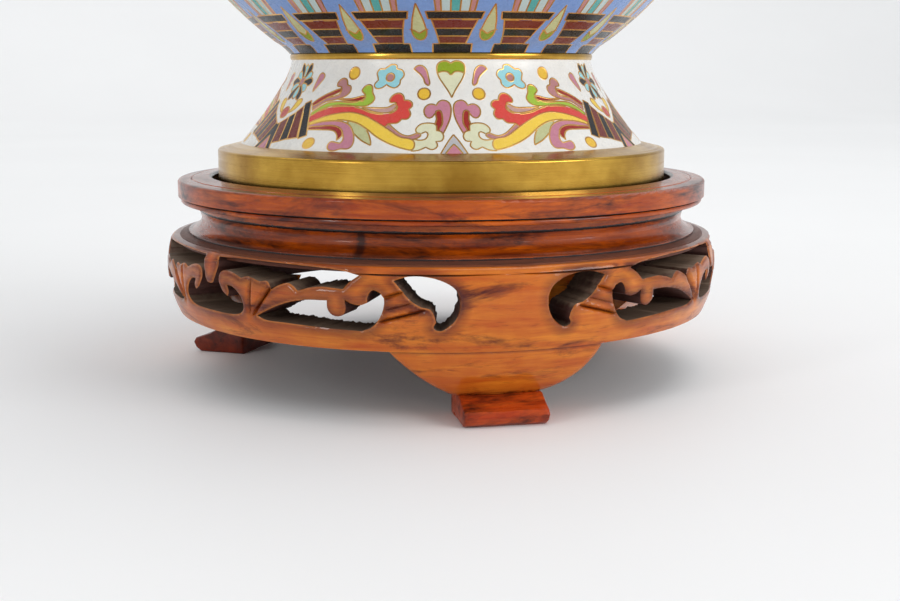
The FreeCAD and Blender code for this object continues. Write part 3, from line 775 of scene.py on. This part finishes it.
RED_PLUME = [
    (19.2, 85.4), (18.5, 86.5), (17.3, 87.1), (16, 87.1), (15, 86.4), (14.5, 85.3, CORNER), (13, 85.2),
    (12.1, 84.6), (11.9, 83.7), (12.8, 82.8, CORNER), (12.1, 81.6), (12.8, 80.3), (14.5, 80.2, CORNER),
    (15.6, 79.2), (18.2, 78.9), (19, 78.2), (22.4, 79.7), (26.4, 81.2), (30.4, 81.9), (34.4, 81.7),
    (38.4, 81), (42.4, 79.8), (44.8, 78.8), (45.7, 80.5, CORNER), (42.4, 82.1), (38.4, 83.2), (33, 83.5),
    (28.3, 83), (24.4, 81.9), (20.4, 81.5), (17.5, 82), (16.4, 83.2), (17.2, 84.6), (18.8, 84.6),
]
RED_TAIL = [
    (16.8, 84.1), (19.5, 83.3), (23, 83.2), (27.7, 83.3, CORNER), (24.4, 82.3), (20.4, 81.8), (17.8, 82.3),
]
GREEN_PLUME = [
    (25.9, 88.7), (26.8, 89.4), (28.4, 89.2), (29.4, 87.9), (28.4, 87.1), (27.4, 86.1), (28.1, 85, CORNER),
    (32.4, 84.5), (36.4, 84.7), (40.4, 84.4), (43, 83.4), (45.9, 81.5, CORNER), (45.5, 80.7), (42.4, 82.4),
    (38.4, 83.5), (34.4, 83.8), (28.8, 83.5), (25.7, 83.9), (24.2, 85.5), (25.5, 87.4),
]
GREEN_STRIPE = [(27.7, 86.4), (32.4, 85.6), (38.3, 85.5, CORNER), (33.4, 84.9), (29.4, 85), (28.1, 85.5)]
BROWN_PLUME = [
    (35.6, 89.3, CORNER), (36.4, 90.6), (38.1, 91.2), (39.8, 90.4), (39.8, 89.1), (37.9, 88.7), (37.3, 87.6),
    (37.8, 86.6), (42.4, 85.5), (45.9, 83.9), (46.8, 83.2, CORNER), (46, 82.1, CORNER), (42.4, 84.4),
    (38.4, 85.2), (35.2, 86.1), (33.7, 87.4), (34.1, 88.9),
]
BROWN_STRIPE = [
    (37.7, 88.3), (42.4, 86.9), (45.9, 85.3), (47.5, 84.1, CORNER), (46.8, 83.4), (42.4, 85.6),
    (37.8, 87.4),
]
CURL = [
    (44.4, 77.8), (42.4, 78.6), (38.4, 79.3), (33.4, 79.4), (29.9, 78.4), (27.7, 76.2), (26.8, 73.7),
    (27.5, 72.3), (29.9, 72.1), (32.1, 71.5), (34, 72.3), (33.9, 73.8), (32.1, 73.8), (30.6, 73.7),
    (30.3, 74.9), (32.1, 77.2), (35.4, 78.1), (40.4, 77.7), (43.9, 77.4),
]
CURL_STRIPE = [
    (32.1, 74.3, CORNER), (32.6, 75.6), (34.3, 76.8), (38.4, 77), (43.9, 76.9, CORNER), (43.9, 77.5),
    (40.4, 77.9), (35.4, 78.2), (32.3, 77.4), (31, 75.8),
]
LEAF = [
    (21.7, 73.2, CORNER), (22, 74.3), (23.7, 76.8), (26.4, 78.5), (28.6, 79.3), (31, 79.3, CORNER),
    (27.9, 76.5), (24.8, 74.5),
]
FLOWER = [
    (18.4, 93.9), (18.6, 94.8), (20.4, 95), (21.7, 94.4), (22.8, 93.8, CORNER), (24.6, 93.7), (25.4, 92.6),
    (24.9, 91.6), (24.5, 90.7, CORNER), (25.5, 89.4), (24.4, 88.4), (22.4, 88.7), (21.3, 89.5, CORNER),
    (20, 88.9), (18.2, 88.6), (16.8, 89.6), (16.8, 90.7, CORNER), (15.7, 92.1), (16.6, 93.5),
]
SMALL_DROP = [
    (47.4, 91.5), (48.2, 92.4), (49.7, 92.6), (50.6, 91.8), (50.8, 88.2), (50.2, 87.3, CORNER),
    (48.3, 89.8),
]
YELLOW_DROP = [
    (53.4, 84.5), (54.4, 85.3), (56.2, 84.6), (56.9, 82.8), (58.2, 81, CORNER), (55.6, 82), (54.1, 83.3),
]
SLEEVE_BARS = [
    ("black", [(48.6, 84.9), (51, 84), (45.8, 74.3), (43.1, 75.3)]),
    ("maroon", [(51, 83.4), (53.3, 81.6), (50.4, 74), (46.4, 74.6)]),
    ("black", [(53.3, 81.4), (55.6, 80.3), (53.1, 73.4), (50.2, 74.2)]),
    ("maroon", [(55.8, 80.1), (58.9, 78.4), (56.5, 72.7), (53.2, 73.4)]),
    ("black", [(58.9, 78.4), (60.1, 78), (60.1, 74.5), (58.6, 71.2), (55.6, 71.2), (56.6, 73)]),
]
MIDDLE_FLOWER = (60.0, 90.1)


def two_wire_flower(centre, spread, petals):
    """A flower of black and turquoise petals about a pink eye, on (degrees, millimetres)."""
    made = []
    for i in range(petals):
        for colour, turn, reach in (("turquoise", 0, 5.0), ("black", 0.5, 6.0)):
            shape = petal(1.2, reach, 2.3, 360 * (i + turn) / petals)
            made.append((colour, moved(shape, (spread, 1), centre)))
    made.append(("brown_pink", disc(*centre, 1.35 * spread, 1.35)))
    return made


FOOT_MOTIFS = [
    (("cream", HEART_SCALLOP, "olive"), HEART), ("pink", COMMA), ("dot_yellow", disc(8.6, 87.0, 2.0, 1.55)),
    ("dot_yellow", disc(34.2, 92.6, 2.1, 1.7)), ("dot_yellow", disc(40.9, 73.3, 1.9, 1.4)),
    ("grey", ARCH), ("pink", ARCH_INSIDE), ("pink", FIDDLEHEAD), ("dark_red", FIDDLEHEAD_STRIPE),
    ("cream", CLOUD), ("pale_green", LEAF), ("brown_pink", SHADOW_TAIL), ("red", RED_PLUME),
    ("tail_pink", RED_TAIL), ("yellow", YELLOW_PLUME), ("plume_green", GREEN_PLUME),
    ("dark_red", GREEN_STRIPE), ("brown_pink", BROWN_PLUME), ("dark_red", BROWN_STRIPE), ("pink", CURL),
    ("dark_red", CURL_STRIPE), ("turquoise", FLOWER), ("brown_pink", disc(20.4, 91.5, 1.45, 1.15)),
    ("pink", SMALL_DROP), ("yellow", YELLOW_DROP),
    *((colour, straight(bar)) for colour, bar in SLEEVE_BARS),
    ("pink", straight([(60.1, 75), (57.6, 71.2), (60.1, 71.2)])), ("salmon", disc(60, 81.3, 2.1, 1.6)),
    *two_wire_flower(MIDDLE_FLOWER, 1.16, 6),
]

# ---------------------------------------------------------------- the blue band above the foot

BAND_TEARDROP = mirrored([
    (10, 111, CORNER), (10.9, 108.5), (11.45, 107), (11.9, 105.2), (12.2, 103.8), (11.85, 102.6),
    (10.95, 101.8), (10, 101.6),
], axis=10)
TEARDROP_WIRE = [(6, 104.6), (8.5, 104.2), (10, 103.4), (11.5, 104.2), (14, 104.6)]
# (colour, bottom height, top height, half width at the bottom and at the top in degrees)
BAND_BARS = [
    ("black", 98.2, 100.7, 6.5, 6.3), ("maroon", 100.8, 102.6, 4.2, 4.8), ("black", 102.7, 104.6, 4.8, 5.4),
    ("maroon", 104.7, 106.9, 5.5, 6.3), ("black", 107.1, 109.0, 7.2, 7.7),
]
# (colour, half width where it leaves the sleeve, half way up and at its top, and its top height)
BAND_STREAMS = [
    ("brown_pink", 5.0, 6.3, 8.8, 137.0), ("stream_white", 3.6, 4.3, 6.2, 134.5),
    ("teal", 1.2, 1.5, 2.6, 131.0),
]


def bar_motifs(bars):
    """One half of a stack of bars: (colour, bottom, top, half width at each)."""
    return [
        (colour, straight([(-1, low), (narrow, low), (wide, high), (-1, high)]))
        for colour, low, high, narrow, wide in bars
    ]


def band_motifs():
    """One half of a sleeve with its streams, and half the teardrop beside it."""
    made = []
    for colour, low, middle, high, top in BAND_STREAMS:
        outline = [
            (low, 109, CORNER), (middle, 120), (high, top - 6), (high * 0.8, top - 1.5),
            (high * 0.4, top - 2.5), (0, top, CORNER), (-0.5, top, CORNER), (-0.5, 109, CORNER),
        ]
        made.append((colour, outline))
    made += bar_motifs(BAND_BARS)
    made.append((("green", TEARDROP_WIRE, "pale_green"), BAND_TEARDROP))
    made.append(("yellow", drop(10, 131.0, 3.6, 9.0)))
    made.append(("brown_pink", disc(10, 136.5, 0.9, 1.4)))
    return made

# ---------------------------------------------------------------- the fields above

FOOT_LOW = 71.3
FOOT_HEIGHT = 25.2


def tier(low, height, half, upright=True):
    """The foot's decoration again between low and low + height, over half degrees. Upside down
    it also starts from the other mirror line."""
    made = []

    def place(points):
        placed = []
        for x, y, *rest in points:
            across, share = x * half / 60, (y - FOOT_LOW) / FOOT_HEIGHT
            if not upright:
                across, share = half - across, 1 - share
            placed.append((across, low + height * share, *rest))
        return placed

    for colour, outline in FOOT_MOTIFS:
        if isinstance(colour, tuple):
            below, line, above = colour
            line = place(line)
            colour = (below, line, above) if upright else (above, line[::-1], below)
        made.append((colour, place(outline)))
    return made


def belly_motifs():
    """Two tiers of hearts, plumes and flowers with a row of dots between them."""
    made = tier(146.5, 43.0, 60) + tier(191.0, 43.0, 60, upright=False)
    made += [("dot_yellow", disc(x, 190.2, 1.5, 1.7)) for x in (12, 29, 46)]
    return made


def neck_motifs():
    """Four tiers in turn upright and upside down."""
    heights = [320.0 + 22.8 * i for i in range(4)]
    return [motif for i, low in enumerate(heights) for motif in tier(low, 22.0, 90, i % 2 == 0)]


def shoulder_motifs():
    """A row of pointed lappets with drops between them, and a row of sleeves over them."""
    lappet = [(7.6, 237, CORNER), (7.6, 244), (6.2, 251), (3.4, 258), (0, 263, CORNER)]
    made = []
    for colour, scale in (("white", 1.0), ("brown_pink", 0.74), ("turquoise", 0.46)):
        side = [(x * scale, 237 + (y - 237) * (0.35 + 0.65 * scale), *rest) for x, y, *rest in lappet]
        made.append((colour, side + [(-x, y, *rest) for x, y, *rest in side[-2::-1]]))
    made += [("yellow", drop(0, 249.5, 3.0, 7.0)), ("pale_green", drop(10, 262, 3.6, 12.0))]
    made += [("red", disc(10, 243.5, 1.5, 1.9))]
    made += bar_motifs([
        ("black", 267.0, 269.4, 6.4, 6.0), ("maroon", 269.6, 272.4, 5.8, 5.2),
        ("black", 272.6, 275.2, 5.2, 4.6), ("maroon", 275.4, 278.2, 4.8, 4.2),
        ("black", 278.4, 281.0, 6.0, 5.4),
    ])
    made += [("stream_white", [
        (-1, 281.2, CORNER), (3.6, 281.2, CORNER), (4.6, 286.5), (1.5, 289.5), (0, 288, CORNER),
    ])]
    made += [("teal", drop(10, 287, 3.8, 11.0))]
    return made


def neck_root_motifs():
    """Short sleeves with drops between them."""
    made = bar_motifs([
        ("black", 297.0, 299.4, 7.6, 7.2), ("maroon", 299.6, 302.2, 6.4, 6.0),
        ("black", 302.4, 305.0, 6.2, 6.8),
    ])
    made += [("stream_white", [
        (-1, 305.2, CORNER), (5.4, 305.2, CORNER), (8.4, 312), (4, 315.6), (0, 313.4, CORNER),
    ])]
    made += [("teal", [(-1, 305.2, CORNER), (2, 305.2, CORNER), (3, 309.5), (0, 311.6, CORNER)])]
    made += [("pale_green", drop(15, 313.5, 5.6, 12.0))]
    return made


def mouth_motifs():
    """Drops that hang from the rim, with pointed leaves between them."""
    made = [("white", [
        (-8.4, 414, CORNER), (8.4, 414, CORNER), (6.6, 420.5), (0, 427, CORNER), (-6.6, 420.5),
    ])]
    made += [("brown_pink", [
        (-4.8, 414, CORNER), (4.8, 414, CORNER), (3.6, 418), (0, 422, CORNER), (-3.6, 418),
    ])]
    made += [("yellow", drop(15, 431.0, 5.4, 12.0)), ("red", disc(7.6, 429.0, 1.5, 1.3))]
    return made


FIELDS = [
    # name, CAD node, motifs, ground, repeats, azimuth of a mirror line, grid, mm to a degree, slot
    ("foot", "foot_enamel", FOOT_MOTIFS, "white", 3, -7.9, 1.1, 0.955, "white_enamel"),
    ("lower_band", "lower_band_enamel", band_motifs(), "blue", 18, -7.5, 1.6, 1.15, "blue_enamel"),
    ("belly", "belly_enamel", belly_motifs(), "white", 3, -7.9, 2.6, 1.62, "white_enamel"),
    ("shoulder", "shoulder_enamel", shoulder_motifs(), "blue", 18, -7.5, 2.2, 1.15, "blue_enamel"),
    ("neck_root", "neck_root_enamel", neck_root_motifs(), "blue", 12, -7.5, 1.8, 0.61, "blue_enamel"),
    ("neck", "neck_enamel", neck_motifs(), "white", 2, -7.9, 1.8, 0.58, "white_enamel"),
    ("mouth", "mouth_enamel", mouth_motifs(), "blue", 12, -7.5, 2.0, 0.82, "blue_enamel"),
]
for field in FIELDS:
    enamel_field(*field)

# ---------------------------------------------------------------- the carved stand

# The openings of one panel, in degrees from the panel's middle and millimetres of height. Each is
# a list of smooth runs: a run starts at a sharp corner and ends where the next one starts. The
# middle opening is the right half of its outline.
CENTRE_OPENING = [
    [(0, 35.0), (1.0, 35.3), (1.5, 36.5), (2.1, 38.5), (2.5, 40.5)],
    [(2.3, 42.8), (12, 43.2), (24, 42.9), (31, 42.2)],
    [(34.3, 41.1), (32.6, 39.3)],
    [(31.4, 37.4), (29.5, 37.6), (27, 37.7), (24.6, 37.1)],
    [(22.6, 36.2), (21.6, 37.4), (20.4, 38.0), (18.6, 37.2)],
    [(16.8, 35.8), (16.4, 37.2), (15.8, 38.0), (14, 37.7)],
    [(12.4, 38.3), (10.9, 38.6)],
    [(9.4, 37.9), (7.4, 38.9), (5.2, 39.4), (3.5, 38.7), (2.9, 37.0), (3.2, 35.3), (4.3, 33.3)],
    [(5.6, 32.2), (5.9, 33.6)],
    [(5.5, 35.3), (7, 35.1), (8.6, 33.7), (9.6, 31.6), (9.7, 29.6), (8.8, 28.1), (6.8, 27.3), (3.5, 27.1)],
]
LONG_OPENING = [
    [(13, 28), (16, 30.2), (20, 32.6), (24, 33.9)],
    [(28.4, 34.2), (28.5, 31.8), (29.6, 30.2), (31.2, 30.4), (31.9, 32)],
    [(31.8, 34.6), (33, 33.7), (34.6, 33.4)],
    [(35.9, 34.1), (36, 35.8), (36.8, 37.4)],
    [(38.2, 36.8), (38.9, 35), (38.7, 32.5), (37.9, 29.8), (36.6, 27.6)],
    [(34.6, 26.3), (28, 26.6), (20, 27), (15, 27.1)],
]
CURL_OPENING = [
    [(40.5, 40), (43, 41.1), (46, 41.1), (49, 40), (51.2, 38), (52, 35.5), (52, 32.5), (51.2, 29.6)],
    [(49.8, 27.6), (48.7, 26.8), (47.5, 27.6)],
    [(47.9, 29.2), (47.6, 31), (46.9, 32.6)],
    [(45.4, 33.2), (43.8, 34.6), (42.6, 36.4), (41.6, 38.2)],
]
# Knife cuts: start, end, half width and depth. Lengths are millimetres, places as above.
CUTS = [
    ((12.0, 38.6), (11.2, 27.6), 0.7, 1.0), ((16.7, 36.6), (11.6, 27.8), 1.3, 1.5),
    ((38.4, 35.2), (42.6, 37.4), 0.9, 1.2), ((38.2, 31.8), (44.4, 34.4), 1.5, 0.9),
    ((37.6, 28.9), (46.2, 32.4), 0.8, 1.2), ((1.4, 36.4), (0.6, 35.2), 0.5, 0.5),
]
HALF_PANEL = 60       # degrees that a panel reaches to either side of its middle
APRON_SCALE = 1.47    # millimetres to a degree on the apron's face
APRON_GRID = 0.6
SHOULDER_HEIGHT = APRON_FACE[1][1]
DECK_SIDE_RISE = 2.15   # from the deck's underside to the top of the apron's back
CHAMFER = 0.7
CHAMFER_DEPTH = 0.45
# how far the painted shade reaches in from an opening
PAINTED_SHADE_REACH = 3.4
WORN_REACH = 0.55
RAGGED_REACH = 0.8


def run_outline(runs):
    """The runs as one outline, with a corner where each starts."""
    return [(*point, CORNER) if i == 0 else point for run in runs for i, point in enumerate(run)]


def nearest(points, lines, batch=2000):
    """Each point's distance to the nearest point of the lines."""
    dots = np.vstack(lines)
    found = np.empty(len(points))
    for start in range(0, len(points), batch):
        apart = points[start:start + batch, None] - dots[None]
        found[start:start + batch] = np.sqrt((apart ** 2).sum(axis=2).min(axis=1))
    return found


def cut_depth(points, start, end, half_width, depth):
    """How deep a knife cut goes at each point: a V across and a taper at both ends."""
    start, end = (np.array((p[0] * APRON_SCALE, p[1])) for p in (start, end))
    way = end - start
    length = np.linalg.norm(way)
    along = np.clip((points - start) @ way / length ** 2, 0, 1)
    apart = np.linalg.norm(points - (start + along[:, None] * way), axis=1)
    taper = np.clip(np.minimum(along, 1 - along) * length / 1.5 + 0.3, 0, 1)
    return depth * taper * np.clip(1 - apart / half_width, 0, 1)


def hand_worked(points, size, amount):
    """Small unevenness, in millimetres, that grows and fades over size."""
    return np.array([noise.noise(Vector(p) / size) for p in points]) * amount


def uneven_sheet(x, y, place, size, amount):
    """hand_worked on a flat sheet, different for each place."""
    return hand_worked(np.stack([x, y, 0 * x + place], axis=1), size, amount)


def set_attribute(piece, name, values):
    """A number at each point of the piece, for its material to read."""
    layer = piece.data.attributes.new(name, "FLOAT", "POINT")
    layer.data.foreach_set("value", values.astype(np.float32))


def panel_sheet(low, high):
    """Half a panel's face, flat and with its openings: its points, its triangles and the lines
    round the openings."""
    centre = run_outline(CENTRE_OPENING) + [(0, 27.1, CORNER), (-3.5, 27.1), (-3.5, 35)]
    holes = [
        smoothed(widened(outline, APRON_SCALE), 0.5)
        for outline in (centre, run_outline(LONG_OPENING), run_outline(CURL_OPENING))
    ]
    rims = [part for hole in holes for part in clipped(ring_of(hole), low, high)]
    lines = list(rims)
    for start, end, *_ in CUTS:
        lines += clipped(np.array(widened([start, end], APRON_SCALE)), low, high)
    for y in (DECK_UNDERSIDE - 0.02, DECK_UNDERSIDE + 0.06):
        lines.append(np.array(((low[0], y), (high[0], y))))
    sheet, triangles = triangulated(lines, low, high, APRON_GRID)
    middles = sheet[triangles].mean(axis=1)
    solid = ~np.any([inside(middles, hole) for hole in holes], axis=0)
    return sheet, triangles[solid], rims


def both_halves(sheet, triangles):
    """The sheet with its mirror image: x, y, triangles, and the sheet's point behind each point."""
    count = len(sheet)
    x = np.concatenate([sheet[:, 0], -sheet[:, 0]])
    y = np.tile(sheet[:, 1], 2)
    twin = np.arange(2 * count)
    seam = np.where(sheet[:, 0] < 1e-6)[0]
    twin[seam + count] = seam
    triangles = twin[np.vstack([triangles, triangles[:, ::-1] + count])]
    used, places = np.unique(triangles, return_inverse=True)
    return x[used], y[used], places.reshape(-1, 3), used % count


def carving(sheet, rims):
    """The carving at each point of a panel's sheet: the depth cut away, the painted shade in the
    carving, the wear, and the distance to the nearest opening."""
    apart = nearest(sheet, rims)
    depth = CHAMFER_DEPTH * np.clip(1 - apart / CHAMFER, 0, 1) ** 2
    # painted shade: darker near the openings and down in the knife cuts
    painted_shade = np.clip(1 - apart / PAINTED_SHADE_REACH, 0, 1) * 0.85
    for cut in CUTS:
        sunk = cut_depth(sheet, *cut)
        depth = np.maximum(depth, sunk)
        painted_shade = np.maximum(painted_shade, np.clip(sunk / cut[3], 0, 1) * 0.8)
    return depth, painted_shade, np.clip(1 - apart / WORN_REACH, 0, 1), apart


def apron(name, middle):
    """One carved panel of the apron about the azimuth of its middle."""
    face = traced(APRON_FACE)
    climb = np.concatenate([[0], np.cumsum(np.linalg.norm(np.diff(face, axis=0), axis=1))])
    below = face[:, 1] <= SHOULDER_HEIGHT
    level = np.where(below, face[:, 1], SHOULDER_HEIGHT + climb - climb[below].max())
    low, high = np.array((0.0, face[0, 1])), np.array((HALF_PANEL * APRON_SCALE, level[-1]))
    sheet, triangles, rims = panel_sheet(low, high)
    x, y, triangles, source = both_halves(sheet, triangles)
    depth, painted_shade, worn, apart = (values[source] for values in carving(sheet, rims))

    radius, height = np.interp(y, level, face[:, 0]), np.interp(y, level, face[:, 1])
    azimuth = middle + x / APRON_SCALE
    outer = around(azimuth, radius, height) / MM
    uneven = hand_worked(outer, 9.0, 0.16) + hand_worked(outer, 2.4, 0.05)
    fade = np.clip((45.0 - y) / 1.5, 0, 1)
    outer = around(azimuth, radius - (depth + np.abs(uneven)) * fade, height)

    under = y <= DECK_UNDERSIDE
    ragged = np.clip(1 - apart / RAGGED_REACH, 0, 1) * under
    jag = uneven_sheet(x, y, middle, 0.9, 0.5) * ragged
    lift = uneven_sheet(x, y, middle + 50, 0.8, 0.55) * ragged
    back = np.where(under, APRON_BACK_RADIUS, DECK_RADIUS)
    deck_side = DECK_UNDERSIDE + (y - DECK_UNDERSIDE) / (high[1] - DECK_UNDERSIDE) * DECK_SIDE_RISE
    back_height = np.where(under, np.clip(y + lift, low[1], DECK_UNDERSIDE), deck_side)
    inner = around(azimuth + jag / APRON_SCALE, back, back_height)
    points, faces = thick_sheet(outer, inner, triangles)
    kinds = [0] * len(triangles) + [1] * (len(faces) - len(triangles))
    piece = mesh_piece(name + "_carved", points, faces, [WOOD, RAW_CUT], kinds, sharp=48.0)
    # the painted shade in the carving, for the wood to darken
    set_attribute(piece, "painted_shade", np.concatenate([painted_shade, painted_shade * 0]))
    set_attribute(piece, "worn", np.concatenate([worn, worn * 0]))
    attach(piece, "stand")
    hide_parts(name)


LEG_FOOT_HALF = 11.75   # half a leg's width at its foot
LEG_TOP_HALF = 29.4
LEG_RIGHT_BEND = 23.6   # radii of the curves up its sides
LEG_LEFT_BEND = 60.0
LEG_GRID = 1.0
LEG_EDGE = 0.9          # how far its rounded edges reach in from its sides
LEG_EDGE_DEPTH = 0.6
LEG_JOINT_DEPTH = 0.18  # of the fine groove under the apron
LEG_JOINT = 0.5


def leg(name, azimuth):
    """A leg block: its front is part of the apron's curve and its sides spread upwards."""
    bottom, top = LEG_FACE[0][1], LEG_FACE[1][1]
    right, left = (
        traced([(LEG_FOOT_HALF, bottom), (LEG_TOP_HALF, top, bend)], 20)
        for bend in (LEG_RIGHT_BEND, LEG_LEFT_BEND)
    )
    outline = np.vstack([right, (left * (-1, 1))[::-1]])
    ring = ring_of(outline)
    sheet, triangles = triangulated([ring], outline.min(axis=0), outline.max(axis=0), LEG_GRID)
    triangles = triangles[inside(sheet[triangles].mean(axis=1), outline)]
    used, places = np.unique(triangles, return_inverse=True)
    sheet, triangles = sheet[used], places.reshape(-1, 3)
    x, z = sheet[:, 0], sheet[:, 1]
    sides = [np.linspace(a, b, 12) for a, b in zip(ring[:-1], ring[1:]) if not a[1] == b[1] == top]
    depth = LEG_EDGE_DEPTH * np.clip(1 - nearest(sheet, sides) / LEG_EDGE, 0, 1) ** 2
    depth += np.abs(uneven_sheet(x, z, azimuth, 7.0, 0.22)) * (z < 20)
    depth += LEG_JOINT_DEPTH * np.clip(1 - (top - z) / LEG_JOINT, 0, 1)
    turn = np.array(Matrix.Rotation(math.radians(azimuth), 3, "Z"))
    skins = [
        np.stack([x, -np.sqrt(radius ** 2 - x ** 2), z], axis=1) * MM @ turn.T
        for radius in (leg_radius(z) - depth, leg_back_radius(z))
    ]
    piece = mesh_piece(name + "_shaped", *thick_sheet(*skins, triangles), [WOOD], sharp=50.0)
    # painted shade: darker at the top of the leg under the apron and a little above the pad
    painted_shade = np.clip(1 - (top - z) / 0.7, 0, 1) * 0.8 + np.clip(1 - (z - bottom) / 2.5, 0, 1) * 0.35
    set_attribute(piece, "painted_shade", np.concatenate([painted_shade, painted_shade]))
    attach(piece, "stand")
    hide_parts(name)


# (radius, height) of a pad's side view, from the back of its underside round its toe.
PAD_PROFILE = [
    (65.6, 0.0), (81.4, 0.0), (83.1, 1.2), (84.0, 3.1), (83.2, 4.5), (80.6, 5.4), (78.0, 6.3), (76.0, 7.45),
    (65.6, 7.45),
]
PAD_TOP = 7.5
PAD_WIDTH = 23.4
PAD_SHIFT = 1.4     # each pad is set a little to one side of its leg
PAD_BEVEL = 0.8
PAD_UNEVEN = 0.18
noise.seed_set(1)   # the pads' noise vectors would otherwise change from run to run


def foot_pad(name, azimuth, material):
    """The block under a leg, cut by hand: rounded edges and faces not quite flat."""
    shape = bmesh.new()
    ring = [shape.verts.new((PAD_SHIFT - PAD_WIDTH / 2, -y, z)) for y, z in PAD_PROFILE]
    base = shape.faces.new(ring)
    grown = bmesh.ops.extrude_face_region(shape, geom=[base])["geom"]
    for vert in [g for g in grown if isinstance(g, bmesh.types.BMVert)]:
        vert.co.x += PAD_WIDTH
    bmesh.ops.recalc_face_normals(shape, faces=shape.faces)
    ends = [e for e in shape.edges if abs(e.verts[0].co.x - e.verts[1].co.x) < 1e-6]
    bmesh.ops.bevel(shape, geom=ends, offset=PAD_BEVEL, segments=3, profile=0.5, affect="EDGES")
    long = [e for e in shape.edges if e.calc_length() > 6]
    bmesh.ops.subdivide_edges(shape, edges=long, cuts=10, use_grid_fill=True)
    bmesh.ops.triangulate(shape, faces=shape.faces)
    for vert in shape.verts:
        vert.co += noise.noise_vector(vert.co / 6.0 + Vector((azimuth, 0, 0))) * PAD_UNEVEN
        vert.co.z = min(max(vert.co.z, 0.0), PAD_TOP)
    shape.transform(Matrix.Rotation(math.radians(azimuth), 4, "Z") @ Matrix.Scale(MM, 4))
    shape.verts.index_update()
    points = np.array([vert.co for vert in shape.verts])
    faces = [[vert.index for vert in face.verts] for face in shape.faces]
    shape.free()
    piece = mesh_piece(name + "_cut", points, faces, [material])
    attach(piece, "stand")
    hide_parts(name)


for side, azimuth in (("front_right", 60), ("back", 180), ("front_left", 300)):
    apron("apron_" + side, azimuth)
# the left pad takes the darker copy of the pads' wood, as painted shade
LEGS = (("front", 0, PAD_WOOD), ("right", 120, PAD_WOOD), ("left", 240, PAINTED_SHADE_WOOD))
for side, azimuth, material in LEGS:
    leg("leg_block_" + side, azimuth)
    foot_pad("foot_pad_" + side, azimuth, material)

# ---------------------------------------------------------------- floor, light and camera

def backdrop():
    """A pale floor that sweeps up into a wall far behind."""
    half, front, back, rise, bend = 4.0, -3.0, 3.0, 3.0, 1.2
    path = [(front, 0.0), (back - bend, 0.0)]
    for turn in np.linspace(0.1, math.pi / 2, 14):
        path.append((back - bend + bend * math.sin(turn), bend - bend * math.cos(turn)))
    path.append((back, rise))
    points = np.array([(x, y, z) for y, z in path for x in (-half, half)])
    faces = [(2 * i, 2 * i + 1, 2 * i + 3, 2 * i + 2) for i in range(len(path) - 1)]
    shades = Shades("pale_paper")
    cloud = shades.span(shades.noise(shades.position(), 3.0), 0.3, 0.7)
    pale = shades.mix(cloud, (0.86, 0.86, 0.86, 1), (0.88, 0.88, 0.88, 1))
    paper = shades.set(Base_Color=pale, Roughness=0.6, Specular_IOR_Level=0.2)
    mesh_piece("floor", points, faces, [paper])


def softbox(name, place, aim, size, power):
    """A rectangular area light at place that faces aim, both in metres."""
    data = bpy.data.lights.new(name, "AREA")
    data.shape = "RECTANGLE"
    data.size, data.size_y = size
    data.energy = power
    lamp = bpy.data.objects.new(name, data)
    lamp.location = place
    lamp.rotation_mode = "QUATERNION"
    lamp.rotation_quaternion = (Vector(aim) - Vector(place)).to_track_quat("-Z", "Y")
    bpy.context.scene.collection.objects.link(lamp)


backdrop()
softbox("top_light", (0.35, -0.1, 1.4), (0, 0.05, 0), (0.9, 0.7), 4.5)
softbox("key_light", (1.05, -1.0, 0.6), (0, 0, 0.04), (0.9, 0.5), 9)
softbox("left_light", (-1.1, -0.7, 0.5), (0, 0, 0.06), (0.16, 0.5), 2.5)
softbox("wall_light", (0, 1.2, 2.4), (0, 2.9, 0.3), (5.0, 0.8), 30)

world = bpy.data.worlds.new("studio")
world.use_nodes = True
background = world.node_tree.nodes["Background"]
background.inputs["Color"].default_value = (0.96, 0.98, 1.0, 1)
background.inputs["Strength"].default_value = 0.63
bpy.context.scene.world = world
bpy.context.scene.view_settings.view_transform = "Standard"

CAMERA_TURN = -11.5     # degrees: the camera stands this far to the left of the front foot
CAMERA_PITCH = 10.13    # degrees downwards
camera_data = bpy.data.cameras.new("camera")
camera_data.lens, camera_data.sensor_width = 52.0, 36.0
camera_data.clip_start, camera_data.clip_end = 0.01, 20
camera = bpy.data.objects.new("camera", camera_data)
turn = Matrix.Rotation(math.radians(CAMERA_TURN), 4, "Z")
stand_off = Matrix.Translation(Vector((2.74, -415.5, 94.0)) * MM)
camera.matrix_world = turn @ stand_off @ Matrix.Rotation(math.radians(90 - CAMERA_PITCH), 4, "X")
bpy.context.scene.collection.objects.link(camera)
bpy.context.scene.camera = camera
